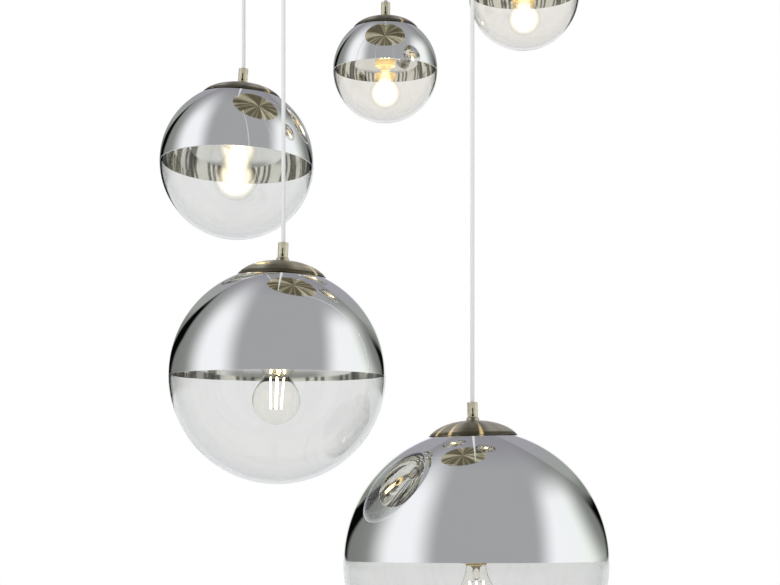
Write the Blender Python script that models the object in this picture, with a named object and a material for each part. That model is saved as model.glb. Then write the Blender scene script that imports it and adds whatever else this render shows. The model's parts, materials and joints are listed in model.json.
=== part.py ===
"""Bubble chandelier: five half-mirrored glass globes on cords under one round ceiling canopy.

Metres, +Z up. The origin is where the mounting bracket meets the ceiling.
"""
import math
from collections import namedtuple

import bmesh
import bpy
from mathutils import Matrix, Vector

# Running clearance between pieces that touch on the real object
GAP = 0.0003
# How far a cutting tool runs past what it cuts
OVERRUN = 0.001

# Globes: blown glass with a round opening on top
GLASS_WALL = 0.0025
LARGEST_GLOBE_RADIUS = 0.165
LARGE_GLOBE_RADIUS = 0.135
MEDIUM_GLOBE_RADIUS = 0.105
SMALL_GLOBE_RADIUS = 0.075
GLASS_UNDER_CAP = 0.013

# Free cord from the gland to the cord grip
CORD_RADIUS = 0.0025
LARGEST_CORD_LENGTH = 0.793
LARGE_CORD_LENGTH = 0.594
MEDIUM_CORD_LENGTH = 0.327
REAR_CORD_LENGTH = 0.202
RIGHT_CORD_LENGTH = 0.131
CORD_POINT_PITCH = 0.026
CORD_BORE_RADIUS = CORD_RADIUS + GAP

# How far each shade leans on its cord, in degrees: bottom to the left when positive
LARGEST_LEAN = -1.3
LARGE_LEAN = 2.6
MEDIUM_LEAN = 4.1
REAR_LEAN = 0.3
RIGHT_LEAN = -0.9

# Caps: pressed sheet domes with a raised collar under the cord grip
CAP_SHEET = 0.001
WIDE_CAP_RADIUS = 0.055
MIDDLE_CAP_RADIUS = 0.0525
NARROW_CAP_RADIUS = 0.0455
HIGH_CAP_RISE = 0.0195
LOW_CAP_RISE = 0.016
HIGH_COLLAR = 0.003
LOW_COLLAR = 0.001
COLLAR_RADIUS = 0.0078
COLLAR_TAPER_SHARE = 1 / 4
CAP_EDGE_ANGLE = 70

# Cord grip: turned cylinder with a slot and a set screw hole on its front
GRIP_RADIUS = 0.0065
GRIP_LENGTH = 0.019
GRIP_CHAMFER = 0.0006
GRIP_THREAD_DEPTH = 0.008
GRIP_SLOT_WIDTH = 0.0014
GRIP_SLOT_LENGTH = 0.009
GRIP_SLOT_DEPTH = 0.0012
GRIP_SCREW_RADIUS = 0.0016
GRIP_SCREW_HEIGHT = 0.0028

# Threaded tube that carries the cap, the clip and the lampholder
TUBE_RADIUS = 0.005
TUBE_BORE_RADIUS = 0.0035

# Spring clip under the cap
CLIP_HUB_RADIUS = 0.0082
CLIP_HUB_HEIGHT = 0.006
CLIP_ARM_WIDTH = 0.008
CLIP_SPRING_SHEET = 0.0009
CLIP_ARM_DROP = 0.011
CLIP_ARM_TUCK = 0.005
CLIP_ARM_RISE = 0.0015
CLIP_ARMS = 3

# Screw lamps: pear bulb with the wide base, ball bulb with the narrow base
WIDE_BASE_RADIUS = 0.01325
WIDE_BASE_LENGTH = 0.0265
WIDE_BASE_SHOWING = 0.003
PEAR_BULB_RADIUS = 0.030
PEAR_GLASS_LENGTH = 0.0785
PEAR_FILAMENT_LENGTH = 0.038
PEAR_CAGE_RADIUS = 0.0085
PEAR_HOLDER_RADIUS = 0.019
PEAR_HOLDER_LENGTH = 0.050
NARROW_BASE_RADIUS = 0.0069
NARROW_BASE_LENGTH = 0.023
NARROW_BASE_SHOWING = 0.006
BALL_BULB_RADIUS = 0.0225
BALL_GLASS_LENGTH = 0.055
BALL_FILAMENT_LENGTH = 0.026
BALL_CAGE_RADIUS = 0.006
BALL_HOLDER_RADIUS = 0.0145
BALL_HOLDER_LENGTH = 0.040
BULB_WALL = 0.0009
BULB_SHOULDER_ANGLE = 125
BASE_SHEET = 0.0008
BASE_SHELL_SHARE = 0.62
BASE_CONE_SHARE = 0.86
BASE_TIP_SHARE = 0.36
SOCKET_CLEARANCE = 0.0009
HOLDER_THREAD_DEPTH = 0.009
HOLDER_STEP = 0.0012
HOLDER_SHOULDER_SHARE = 1 / 2
HOLDER_CROWN_SHARE = 1 / 3
FILAMENT_RADIUS = 0.0011
WIRE_RADIUS = 0.0005
CAGE_LOW_SHARE = 2 / 3
CAGE_FOOT_SHARE = 3 / 4
STEM_SHARE = 1 / 3

# Height of the bulb's lowest point under the middle of its globe
LARGEST_BULB_DEPTH = 0.083
LARGE_BULB_DEPTH = 0.061
MEDIUM_BULB_DEPTH = 0.052
SMALL_BULB_DEPTH = 0.056

# Canopy: pressed round pan, open towards the ceiling
CORD_CIRCLE_RADIUS = 0.200
REAR_CORD_ANGLE = 90
CORD_EDGE_DISTANCE = 0.025
CANOPY_RADIUS = CORD_CIRCLE_RADIUS + CORD_EDGE_DISTANCE
CANOPY_DEPTH = 0.028
CANOPY_SHEET = 0.0012
CANOPY_EDGE_RADIUS = 0.006
EDGE_ANGLES = (0, 30, 60, 90)
CEILING_CLEARANCE = 0.0005

# Cord gland: snap-in strain relief in the canopy
GLAND_RADIUS = 0.006
GLAND_NOSE_RADIUS = 0.0048
GLAND_LENGTH = 0.016
GLAND_FLANGE_RADIUS = 0.008
GLAND_FLANGE = 0.002
GLAND_NECK_RADIUS = 0.0049
GLAND_SHOULDER_RADIUS = 0.0058
GLAND_SHOULDER = 0.002
GLAND_TAIL = 0.007

# Mounting bracket: strap with two screw slots and two studs
STRAP_LENGTH = 0.240
STRAP_WIDTH = 0.025
STRAP_SHEET = 0.002
STRAP_CORNER = 0.004
SLOT_LENGTH = 0.022
SLOT_WIDTH = 0.005
SLOT_OFFSET = 0.050
STUD_RADIUS = 0.002
STUD_OFFSET = 0.100
STUD_THREAD_BELOW = 0.007

# Round cap nuts under the canopy
NUT_RADIUS = 0.006
NUT_LENGTH = 0.011
NUT_CHAMFER = 0.0012

# Terminal block on the underside of the bracket
BLOCK_LENGTH = 0.030
BLOCK_WIDTH = 0.014
BLOCK_HEIGHT = 0.010
BLOCK_TOWER_RADIUS = 0.0035
BLOCK_TOWER_HEIGHT = 0.004
BLOCK_WIRE_RADIUS = 0.0016
BLOCK_SCREW_RADIUS = 0.0018
BLOCK_BEVEL = 0.0008
BLOCK_WAYS = 3
BLOCK_SCREW_DEPTH_SHARE = 1 / 4

# Facets round a turned piece, and degrees between the points of an arc
WIDE_SIDES = 24
MIDDLE_SIDES = 24
NARROW_SIDES = 20
BULB_SIDES = 12
SMALL_SIDES = 12
SET_SCREW_SIDES = 6
HOLE_SIDES = 10
WIRE_SIDES = 5
FILAMENT_SIDES = 5
STEM_SIDES = 7
CANOPY_SIDES = 40
OUTER_STEP = 14
INNER_STEP = 21
BULB_STEP = 18
BULB_INNER_STEP = 32
CAP_STEPS = 4
SHARP_ANGLE = 40

Lamp = namedtuple(
    "Lamp",
    "base_radius base_length showing radius glass_length filament_length cage_radius "
    "holder_radius holder_length",
)
Pendant = namedtuple(
    "Pendant",
    "name place globe_radius cord_length lean cap_radius cap_rise collar lamp bulb_depth sides",
)

PEAR_LAMP = Lamp(
    WIDE_BASE_RADIUS,
    WIDE_BASE_LENGTH,
    WIDE_BASE_SHOWING,
    PEAR_BULB_RADIUS,
    PEAR_GLASS_LENGTH,
    PEAR_FILAMENT_LENGTH,
    PEAR_CAGE_RADIUS,
    PEAR_HOLDER_RADIUS,
    PEAR_HOLDER_LENGTH,
)
BALL_LAMP = Lamp(
    NARROW_BASE_RADIUS,
    NARROW_BASE_LENGTH,
    NARROW_BASE_SHOWING,
    BALL_BULB_RADIUS,
    BALL_GLASS_LENGTH,
    BALL_FILAMENT_LENGTH,
    BALL_CAGE_RADIUS,
    BALL_HOLDER_RADIUS,
    BALL_HOLDER_LENGTH,
)

# Anticlockwise from the rear, seen from above
PENDANTS = (
    Pendant("rear", 0, SMALL_GLOBE_RADIUS, REAR_CORD_LENGTH, REAR_LEAN,
            NARROW_CAP_RADIUS, LOW_CAP_RISE, LOW_COLLAR, BALL_LAMP, SMALL_BULB_DEPTH, NARROW_SIDES),
    Pendant("medium", 1, MEDIUM_GLOBE_RADIUS, MEDIUM_CORD_LENGTH, MEDIUM_LEAN,
            MIDDLE_CAP_RADIUS, LOW_CAP_RISE, LOW_COLLAR, PEAR_LAMP, MEDIUM_BULB_DEPTH, MIDDLE_SIDES),
    Pendant("large", 2, LARGE_GLOBE_RADIUS, LARGE_CORD_LENGTH, LARGE_LEAN,
            WIDE_CAP_RADIUS, HIGH_CAP_RISE, HIGH_COLLAR, PEAR_LAMP, LARGE_BULB_DEPTH, WIDE_SIDES),
    Pendant("largest", 3, LARGEST_GLOBE_RADIUS, LARGEST_CORD_LENGTH, LARGEST_LEAN,
            WIDE_CAP_RADIUS, HIGH_CAP_RISE, HIGH_COLLAR, PEAR_LAMP, LARGEST_BULB_DEPTH, WIDE_SIDES),
    Pendant("right", 4, SMALL_GLOBE_RADIUS, RIGHT_CORD_LENGTH, RIGHT_LEAN,
            NARROW_CAP_RADIUS, LOW_CAP_RISE, LOW_COLLAR, BALL_LAMP, SMALL_BULB_DEPTH, NARROW_SIDES),
)


def clear_scene():
    for old in list(bpy.data.objects):
        bpy.data.objects.remove(old, do_unlink=True)


def finish(name, colour, roughness, metallic=0.0, alpha=1.0):
    """A material with the colour and gloss of one kind of piece."""
    material = bpy.data.materials.new(name)
    material.use_nodes = True
    shader = material.node_tree.nodes["Principled BSDF"]
    shader.inputs["Base Color"].default_value = (*colour, 1.0)
    shader.inputs["Roughness"].default_value = roughness
    shader.inputs["Metallic"].default_value = metallic
    shader.inputs["Alpha"].default_value = alpha
    material.diffuse_color = (*colour, alpha)
    return material


def as_object(name, body):
    """Turns a bmesh into a linked object at the origin, with its faces pointing out."""
    bmesh.ops.recalc_face_normals(body, faces=body.faces)
    mesh = bpy.data.meshes.new(name)
    body.to_mesh(mesh)
    body.free()
    piece = bpy.data.objects.new(name, mesh)
    bpy.context.collection.objects.link(piece)
    return piece


def turned(name, outline, sides):
    """Spins an outline of (radius, height) points about the vertical axis.

    An outline that starts and ends on the axis is left open, any other is closed into a ring.
    """
    body = bmesh.new()
    points = [body.verts.new((radius, 0, height)) for radius, height in outline]
    edges = [body.edges.new(pair) for pair in zip(points, points[1:])]
    if outline[0][0] > 0:
        edges.append(body.edges.new((points[-1], points[0])))
    bmesh.ops.spin(
        body, geom=points + edges, cent=(0, 0, 0), axis=(0, 0, 1), angle=math.tau, steps=sides
    )
    bmesh.ops.remove_doubles(body, verts=body.verts, dist=GAP / sides)
    return as_object(name, body)


def rod(name, radius, start, end, sides):
    """A straight round bar between two points."""
    run = Vector(end) - Vector(start)
    middle = Matrix.Translation((Vector(start) + Vector(end)) / 2)
    turn = run.to_track_quat("Z", "Y").to_matrix().to_4x4()
    body = bmesh.new()
    bmesh.ops.create_cone(
        body, cap_ends=True, segments=sides, radius1=radius, radius2=radius,
        depth=run.length, matrix=middle @ turn,
    )
    return as_object(name, body)


def block(name, size, middle):
    """A rectangular block."""
    body = bmesh.new()
    scale = Matrix.Diagonal((*size, 1))
    bmesh.ops.create_cube(body, size=1, matrix=Matrix.Translation(middle) @ scale)
    return as_object(name, body)


def combine(piece, tool, operation):
    """Joins or cuts a piece with another, which is used up."""
    modifier = piece.modifiers.new(operation, "BOOLEAN")
    modifier.object = tool
    modifier.operation = operation
    modifier.solver = "EXACT"
    solved = piece.evaluated_get(bpy.context.evaluated_depsgraph_get())
    mesh = bpy.data.meshes.new_from_object(solved)
    piece.modifiers.remove(modifier)
    piece.data = mesh
    bpy.data.objects.remove(tool, do_unlink=True)


def place(piece, parent, height, material, offset=(0, 0)):
    """Hangs a finished piece under its parent and gives it its material."""
    piece.parent = parent
    piece.location = (*offset, height)
    piece.data.materials.clear()
    piece.data.materials.append(material)
    piece.data.shade_smooth()
    piece.data.set_sharp_from_angle(angle=math.radians(SHARP_ANGLE))
    return piece


def pivot(name, parent, location, lean=0):
    """An empty on a joint's axis."""
    empty = bpy.data.objects.new(name, None)
    bpy.context.collection.objects.link(empty)
    empty.parent = parent
    empty.location = location
    empty.rotation_euler = (0, math.radians(lean), 0)
    return empty


def arc(radius, start, end, step, middle=0):
    """Points on a circle about the axis, by angle from straight down, in degrees."""
    steps = max(2, math.ceil(abs(end - start) / step))
    angles = [math.radians(start + (end - start) * n / steps) for n in range(steps + 1)]
    return [(radius * math.sin(a) if a else 0, middle - radius * math.cos(a)) for a in angles]


def rim_angle(radius, ring):
    """Angle from straight down at which a sphere narrows to a ring near its top."""
    return 180 - math.degrees(math.asin(ring / radius))


def cap_seat_radius(pendant):
    """The cap meets the glass on the inner edge of its rim."""
    return pendant.cap_radius - CAP_SHEET


def opening_radius(pendant):
    return pendant.cap_radius - GLASS_UNDER_CAP


def lip_height(pendant):
    """Height of the glass's lip over the middle of the globe, outside and inside."""
    inner = pendant.globe_radius - GLASS_WALL
    ring = opening_radius(pendant)
    return math.sqrt(pendant.globe_radius ** 2 - ring ** 2), math.sqrt(inner ** 2 - ring ** 2)


def cap_top(pendant):
    """Height of the cap's top over the middle of the globe."""
    seat = math.sqrt(pendant.globe_radius ** 2 - cap_seat_radius(pendant) ** 2)
    return seat + GAP + pendant.cap_rise + pendant.collar


def globe_depth(pendant):
    """Depth of the middle of the globe under the mouth of the cord grip."""
    return GRIP_LENGTH + GAP + cap_top(pendant)


def holder_mouth(pendant):
    """Height of the lampholder's mouth over the middle of the globe."""
    return pendant.lamp.glass_length - pendant.bulb_depth + pendant.lamp.showing


def gland_mouth():
    return -(CANOPY_DEPTH + GLAND_LENGTH)


def cord_place(pendant):
    """Where a cord leaves the canopy, on the circle of five."""
    angle = math.radians(REAR_CORD_ANGLE) + math.tau * pendant.place / len(PENDANTS)
    return CORD_CIRCLE_RADIUS * math.cos(angle), CORD_CIRCLE_RADIUS * math.sin(angle)


def make_bracket(material):
    strap = block(
        "mounting_bracket", (STRAP_LENGTH, STRAP_WIDTH, STRAP_SHEET), (0, 0, -STRAP_SHEET / 2)
    )
    body = bmesh.new()
    body.from_mesh(strap.data)
    corners = [e for e in body.edges if abs((e.verts[0].co - e.verts[1].co).z) > STRAP_SHEET / 2]
    bmesh.ops.bevel(
        body, geom=corners, offset=STRAP_CORNER, segments=2, profile=0.5, affect="EDGES"
    )
    body.to_mesh(strap.data)
    body.free()
    stud_end = CANOPY_DEPTH + STUD_THREAD_BELOW
    for side in (-1, 1):
        slot = block(
            "slot",
            (SLOT_LENGTH, SLOT_WIDTH, STRAP_SHEET + 2 * OVERRUN),
            (side * SLOT_OFFSET, 0, -STRAP_SHEET / 2),
        )
        combine(strap, slot, "DIFFERENCE")
        stud = rod(
            "stud",
            STUD_RADIUS,
            (side * STUD_OFFSET, 0, -STRAP_SHEET / 2),
            (side * STUD_OFFSET, 0, -stud_end),
            SMALL_SIDES,
        )
        combine(strap, stud, "UNION")
    return place(strap, None, 0, material)


def make_canopy(material):
    bend = CANOPY_RADIUS - CANOPY_EDGE_RADIUS
    edge = [
        (bend + CANOPY_EDGE_RADIUS * math.cos(a), -CANOPY_DEPTH + CANOPY_EDGE_RADIUS * (1 - math.sin(a)))
        for a in (math.radians(step) for step in EDGE_ANGLES)
    ]
    inner_edge = CANOPY_EDGE_RADIUS - CANOPY_SHEET
    inside = [
        (bend + inner_edge * math.cos(a), -CANOPY_DEPTH + CANOPY_SHEET + inner_edge * (1 - math.sin(a)))
        for a in (math.radians(step) for step in EDGE_ANGLES[::-1])
    ]
    outline = [
        (0, -CANOPY_DEPTH + CANOPY_SHEET),
        *inside,
        (CANOPY_RADIUS - CANOPY_SHEET, -CEILING_CLEARANCE),
        (CANOPY_RADIUS, -CEILING_CLEARANCE),
        *edge,
        (0, -CANOPY_DEPTH),
    ]
    canopy = turned("canopy", outline, CANOPY_SIDES)
    floor = -CANOPY_DEPTH - OVERRUN, -CANOPY_DEPTH + CANOPY_SHEET + OVERRUN
    holes = [(*cord_place(p), GLAND_NECK_RADIUS + GAP) for p in PENDANTS]
    holes += [(side * STUD_OFFSET, 0, STUD_RADIUS + GAP) for side in (-1, 1)]
    for x, y, radius in holes:
        hole = rod("hole", radius, (x, y, floor[0]), (x, y, floor[1]), HOLE_SIDES)
        combine(canopy, hole, "DIFFERENCE")
    return place(canopy, None, 0, material)


def make_cap_nuts(material):
    bore = STUD_RADIUS + GAP
    outline = [
        (0, -STUD_THREAD_BELOW - GAP),
        (bore, -STUD_THREAD_BELOW - GAP),
        (bore, -GAP),
        (NUT_RADIUS, -GAP),
        (NUT_RADIUS, -NUT_LENGTH + NUT_CHAMFER),
        (NUT_RADIUS - NUT_CHAMFER, -NUT_LENGTH),
        (0, -NUT_LENGTH),
    ]
    for side, name in ((-1, "cap_nut_left"), (1, "cap_nut_right")):
        nut = turned(name, outline, SMALL_SIDES)
        place(nut, None, -CANOPY_DEPTH, material, (side * STUD_OFFSET, 0))


def make_terminal_block(material):
    top = -STRAP_SHEET - GAP
    body = block(
        "terminal_block",
        (BLOCK_LENGTH, BLOCK_WIDTH, BLOCK_HEIGHT),
        (0, 0, top - BLOCK_HEIGHT / 2),
    )
    rounded = bmesh.new()
    rounded.from_mesh(body.data)
    bmesh.ops.bevel(
        rounded, geom=rounded.edges, offset=BLOCK_BEVEL, segments=1, affect="EDGES"
    )
    rounded.to_mesh(body.data)
    rounded.free()
    pitch = BLOCK_LENGTH / BLOCK_WAYS
    for way in range(BLOCK_WAYS):
        x = pitch * (way - (BLOCK_WAYS - 1) / 2)
        face = top - BLOCK_HEIGHT
        tower_end = face - BLOCK_TOWER_HEIGHT
        tower = rod(
            "tower", BLOCK_TOWER_RADIUS, (x, 0, face + OVERRUN), (x, 0, tower_end), HOLE_SIDES
        )
        combine(body, tower, "UNION")
        screw_end = face + BLOCK_SCREW_DEPTH_SHARE * BLOCK_HEIGHT
        screw = rod(
            "screw", BLOCK_SCREW_RADIUS, (x, 0, tower_end - OVERRUN), (x, 0, screw_end), HOLE_SIDES
        )
        combine(body, screw, "DIFFERENCE")
        reach = BLOCK_WIDTH / 2 + OVERRUN
        height = top - BLOCK_HEIGHT / 2
        wire = rod("wire", BLOCK_WIRE_RADIUS, (x, -reach, height), (x, reach, height), HOLE_SIDES)
        combine(body, wire, "DIFFERENCE")
    return place(body, None, 0, material)


def make_gland(pendant, material):
    """Flange and grip under the canopy, snap shoulder above it, bored for the cord."""
    neck_top = CANOPY_SHEET + GAP
    shoulder_top = neck_top + GLAND_SHOULDER
    outline = [
        (CORD_BORE_RADIUS, -GLAND_LENGTH),
        (GLAND_NOSE_RADIUS, -GLAND_LENGTH),
        (GLAND_RADIUS, -GLAND_FLANGE),
        (GLAND_FLANGE_RADIUS, -GLAND_FLANGE),
        (GLAND_FLANGE_RADIUS, -GAP),
        (GLAND_NECK_RADIUS, -GAP),
        (GLAND_NECK_RADIUS, neck_top),
        (GLAND_SHOULDER_RADIUS, neck_top),
        (GLAND_SHOULDER_RADIUS, shoulder_top),
        (GLAND_NECK_RADIUS, GLAND_TAIL),
        (CORD_BORE_RADIUS, GLAND_TAIL),
    ]
    gland = turned(f"{pendant.name}_cord_gland", outline, HOLE_SIDES)
    return place(gland, None, -CANOPY_DEPTH, material, cord_place(pendant))


def make_cord(pendant, hang, material):
    """Straight under the load, from the mouth of the gland to the mouth of the grip."""
    run = pendant.cord_length - 2 * GAP
    steps = round(run / CORD_POINT_PITCH)
    curve = bpy.data.curves.new(f"{pendant.name}_cord", "CURVE")
    curve.dimensions = "3D"
    curve.bevel_depth = CORD_RADIUS
    curve.bevel_resolution = 2
    curve.use_fill_caps = True
    spline = curve.splines.new("POLY")
    spline.points.add(steps)
    for n, point in enumerate(spline.points):
        point.co = (0, 0, -GAP - run * n / steps, 1)
    cord = bpy.data.objects.new(f"{pendant.name}_cord", curve)
    bpy.context.collection.objects.link(cord)
    cord.parent = hang
    curve.materials.append(material)
    return cord


def make_grip(pendant, tilt, material):
    """Bored for the cord above and for the threaded tube below."""
    thread = TUBE_RADIUS + GAP
    outline = [
        (CORD_BORE_RADIUS, 0),
        (CORD_BORE_RADIUS, -GRIP_LENGTH + GRIP_THREAD_DEPTH),
        (thread, -GRIP_LENGTH + GRIP_THREAD_DEPTH),
        (thread, -GRIP_LENGTH),
        (GRIP_RADIUS, -GRIP_LENGTH),
        (GRIP_RADIUS, -GRIP_CHAMFER),
        (GRIP_RADIUS - GRIP_CHAMFER, 0),
    ]
    grip = turned(f"{pendant.name}_cord_grip", outline, SMALL_SIDES)
    screw_height = -GRIP_LENGTH + GRIP_SCREW_HEIGHT
    slot_height = screw_height + GRIP_SLOT_LENGTH / 2
    slot = block(
        "slot",
        (GRIP_SLOT_WIDTH, 2 * GRIP_SLOT_DEPTH, GRIP_SLOT_LENGTH),
        (0, -GRIP_RADIUS, slot_height),
    )
    combine(grip, slot, "DIFFERENCE")
    screw = rod(
        "screw",
        GRIP_SCREW_RADIUS,
        (0, -GRIP_RADIUS - OVERRUN, screw_height),
        (0, -TUBE_RADIUS, screw_height),
        SET_SCREW_SIDES,
    )
    combine(grip, screw, "DIFFERENCE")
    return place(grip, tilt, 0, material)


def make_cap(pendant, tilt, material):
    """Dome whose outline is part of an ellipse, a little over two thirds of a quarter."""
    edge = math.radians(CAP_EDGE_ANGLE)
    hole = TUBE_RADIUS + GAP

    def dome(radius, rise):
        points = []
        for n in range(CAP_STEPS + 1):
            a = edge * n / CAP_STEPS
            share = (math.cos(a) - math.cos(edge)) / (1 - math.cos(edge))
            points.append((radius * math.sin(a) / math.sin(edge), rise * share))
        return points

    outer = [p for p in dome(pendant.cap_radius, pendant.cap_rise) if p[0] > COLLAR_RADIUS]
    inner = [
        p
        for p in dome(cap_seat_radius(pendant), pendant.cap_rise - CAP_SHEET)
        if p[0] > COLLAR_RADIUS
    ]
    top = pendant.cap_rise + pendant.collar
    outline = [
        (hole, top),
        (COLLAR_RADIUS - COLLAR_TAPER_SHARE * pendant.collar, top),
        (COLLAR_RADIUS, pendant.cap_rise),
        *outer,
        *reversed(inner),
        (COLLAR_RADIUS, pendant.cap_rise - CAP_SHEET),
        (hole, pendant.cap_rise - CAP_SHEET),
    ]
    cap = turned(f"{pendant.name}_cap", outline, pendant.sides)
    return place(cap, tilt, -GRIP_LENGTH - GAP - top, material)


def make_globe(pendant, tilt, material):
    """Outside from the bottom to the cap's seat and the lip, then the inside back down."""
    radius, inner = pendant.globe_radius, pendant.globe_radius - GLASS_WALL
    ring = opening_radius(pendant)
    seat = rim_angle(radius, cap_seat_radius(pendant))
    lip = (ring, lip_height(pendant)[0])
    inside = arc(inner, rim_angle(inner, ring), 0, INNER_STEP)
    outline = [*arc(radius, 0, seat, OUTER_STEP), lip, *inside]
    globe = turned(f"{pendant.name}_globe", outline, pendant.sides)
    return place(globe, tilt, -globe_depth(pendant), material)


def make_tube(pendant, tilt, material):
    """Runs from inside the grip to inside the lampholder."""
    top = -GRIP_LENGTH + GRIP_THREAD_DEPTH - GAP
    holder_top = holder_mouth(pendant) + pendant.lamp.holder_length - globe_depth(pendant)
    bottom = holder_top - HOLDER_THREAD_DEPTH + GAP
    outline = [
        (TUBE_BORE_RADIUS, top),
        (TUBE_BORE_RADIUS, bottom),
        (TUBE_RADIUS, bottom),
        (TUBE_RADIUS, top),
    ]
    tube = turned(f"{pendant.name}_threaded_tube", outline, SMALL_SIDES)
    return place(tube, tilt, 0, material)


def spring_arm(pendant, root):
    """One leaf of spring sheet: out under the cap, down through the glass, and tucked in."""
    glass_flat = opening_radius(pendant) * math.cos(math.pi / pendant.sides) - GAP
    pad = math.sqrt(glass_flat ** 2 - (CLIP_ARM_WIDTH / 2) ** 2)
    outside, inside = lip_height(pendant)
    line = [
        ((CLIP_HUB_RADIUS + TUBE_RADIUS) / 2, root),
        (pad - CLIP_ARM_TUCK, outside + CLIP_ARM_RISE),
        (pad, outside),
        (pad, inside),
        (pad - CLIP_ARM_TUCK, inside - CLIP_ARM_DROP),
    ]
    body = bmesh.new()
    rows = [
        [body.verts.new((r, side * CLIP_ARM_WIDTH / 2, z)) for side in (-1, 1)] for r, z in line
    ]
    for upper, lower in zip(rows, rows[1:]):
        body.faces.new((upper[0], upper[1], lower[1], lower[0]))
    bmesh.ops.recalc_face_normals(body, faces=body.faces)
    bmesh.ops.solidify(body, geom=body.faces[:], thickness=CLIP_SPRING_SHEET)
    return body, pad


def make_clip(pendant, tilt, material):
    """Threaded hub that clamps the cap, with spring arms that hold the rim of the glass."""
    hub_top = cap_top(pendant) - pendant.collar - CAP_SHEET - GAP
    hub_bottom = hub_top - CLIP_HUB_HEIGHT
    bore = TUBE_RADIUS + GAP
    outline = [
        (bore, hub_top),
        (bore, hub_bottom),
        (CLIP_HUB_RADIUS, hub_bottom),
        (CLIP_HUB_RADIUS, hub_top),
    ]
    clip = turned(f"{pendant.name}_globe_clip", outline, SMALL_SIDES)
    for n in range(CLIP_ARMS):
        arm_mesh, pad = spring_arm(pendant, hub_bottom + CLIP_SPRING_SHEET)
        reach = max(v.co.x for v in arm_mesh.verts)
        bmesh.ops.translate(arm_mesh, verts=arm_mesh.verts, vec=(min(0, pad - reach), 0, 0))
        turn = Matrix.Rotation(math.tau * n / CLIP_ARMS + math.pi / 2, 4, "Z")
        bmesh.ops.transform(arm_mesh, matrix=turn, verts=arm_mesh.verts)
        combine(clip, as_object("arm", arm_mesh), "UNION")
    return place(clip, tilt, -globe_depth(pendant), material)


def make_lampholder(pendant, tilt, material):
    """Screw socket, open below, threaded for the tube above."""
    lamp = pendant.lamp
    socket = lamp.base_radius + SOCKET_CLEARANCE
    socket_depth = lamp.base_length - lamp.showing + 2 * GAP
    top = lamp.holder_length
    bore = TUBE_RADIUS + GAP
    waist = lamp.holder_radius - HOLDER_STEP
    outline = [
        (0, socket_depth),
        (socket, socket_depth),
        (socket, 0),
        (lamp.holder_radius, 0),
        (lamp.holder_radius, socket_depth - HOLDER_STEP),
        (waist, socket_depth),
        (waist, top - HOLDER_SHOULDER_SHARE * lamp.holder_radius),
        (bore + HOLDER_CROWN_SHARE * waist, top),
        (bore, top),
        (bore, top - HOLDER_THREAD_DEPTH),
        (0, top - HOLDER_THREAD_DEPTH),
    ]
    holder = turned(f"{pendant.name}_lampholder", outline, SMALL_SIDES)
    return place(holder, tilt, holder_mouth(pendant) - globe_depth(pendant), material)


def bulb_outline(lamp, wall, step, neck_steps):
    """From the lowest point round the bulb and in to the neck, on one smooth line."""
    radius = lamp.radius - wall
    neck = lamp.base_radius - BASE_SHEET / 2 - wall
    middle = lamp.radius - lamp.glass_length
    points = arc(radius, 0, BULB_SHOULDER_ANGLE, step, middle)
    r, z = points[-1]
    slope = math.radians(BULB_SHOULDER_ANGLE)
    bend = z + (r - neck) * math.sin(slope) / -math.cos(slope)
    for n in range(1, neck_steps + 1):
        t = n / neck_steps
        curve_r = (1 - t) ** 2 * r + (1 - (1 - t) ** 2) * neck
        curve_z = (1 - t) ** 2 * z + 2 * t * (1 - t) * bend + t ** 2 * -GAP
        points.append((curve_r, curve_z))
    return points


def make_bulb(pendant, tilt, glass, metal, glow):
    """Base, glass and filament cage of one lamp, all from where the base meets the glass."""
    lamp = pendant.lamp
    seam = holder_mouth(pendant) - lamp.showing - globe_depth(pendant)
    inside = bulb_outline(lamp, BULB_WALL, BULB_INNER_STEP, 2)
    outline = bulb_outline(lamp, 0, BULB_STEP, 3) + inside[::-1]
    bulb = turned(f"{pendant.name}_bulb_glass", outline, BULB_SIDES)
    place(bulb, tilt, seam, glass)

    shell = lamp.base_length * BASE_SHELL_SHARE
    tip = lamp.base_radius * BASE_TIP_SHARE
    inside = lamp.base_radius - BASE_SHEET
    base_outline = [
        (0, shell),
        (inside, shell),
        (inside, 0),
        (lamp.base_radius, 0),
        (lamp.base_radius, shell),
        (tip, lamp.base_length * BASE_CONE_SHARE),
        (tip, lamp.base_length),
        (0, lamp.base_length),
    ]
    base = turned(f"{pendant.name}_bulb_base", base_outline, SMALL_SIDES)
    place(base, tilt, seam, metal)
    place(make_filament(pendant), tilt, seam, glow)


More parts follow.
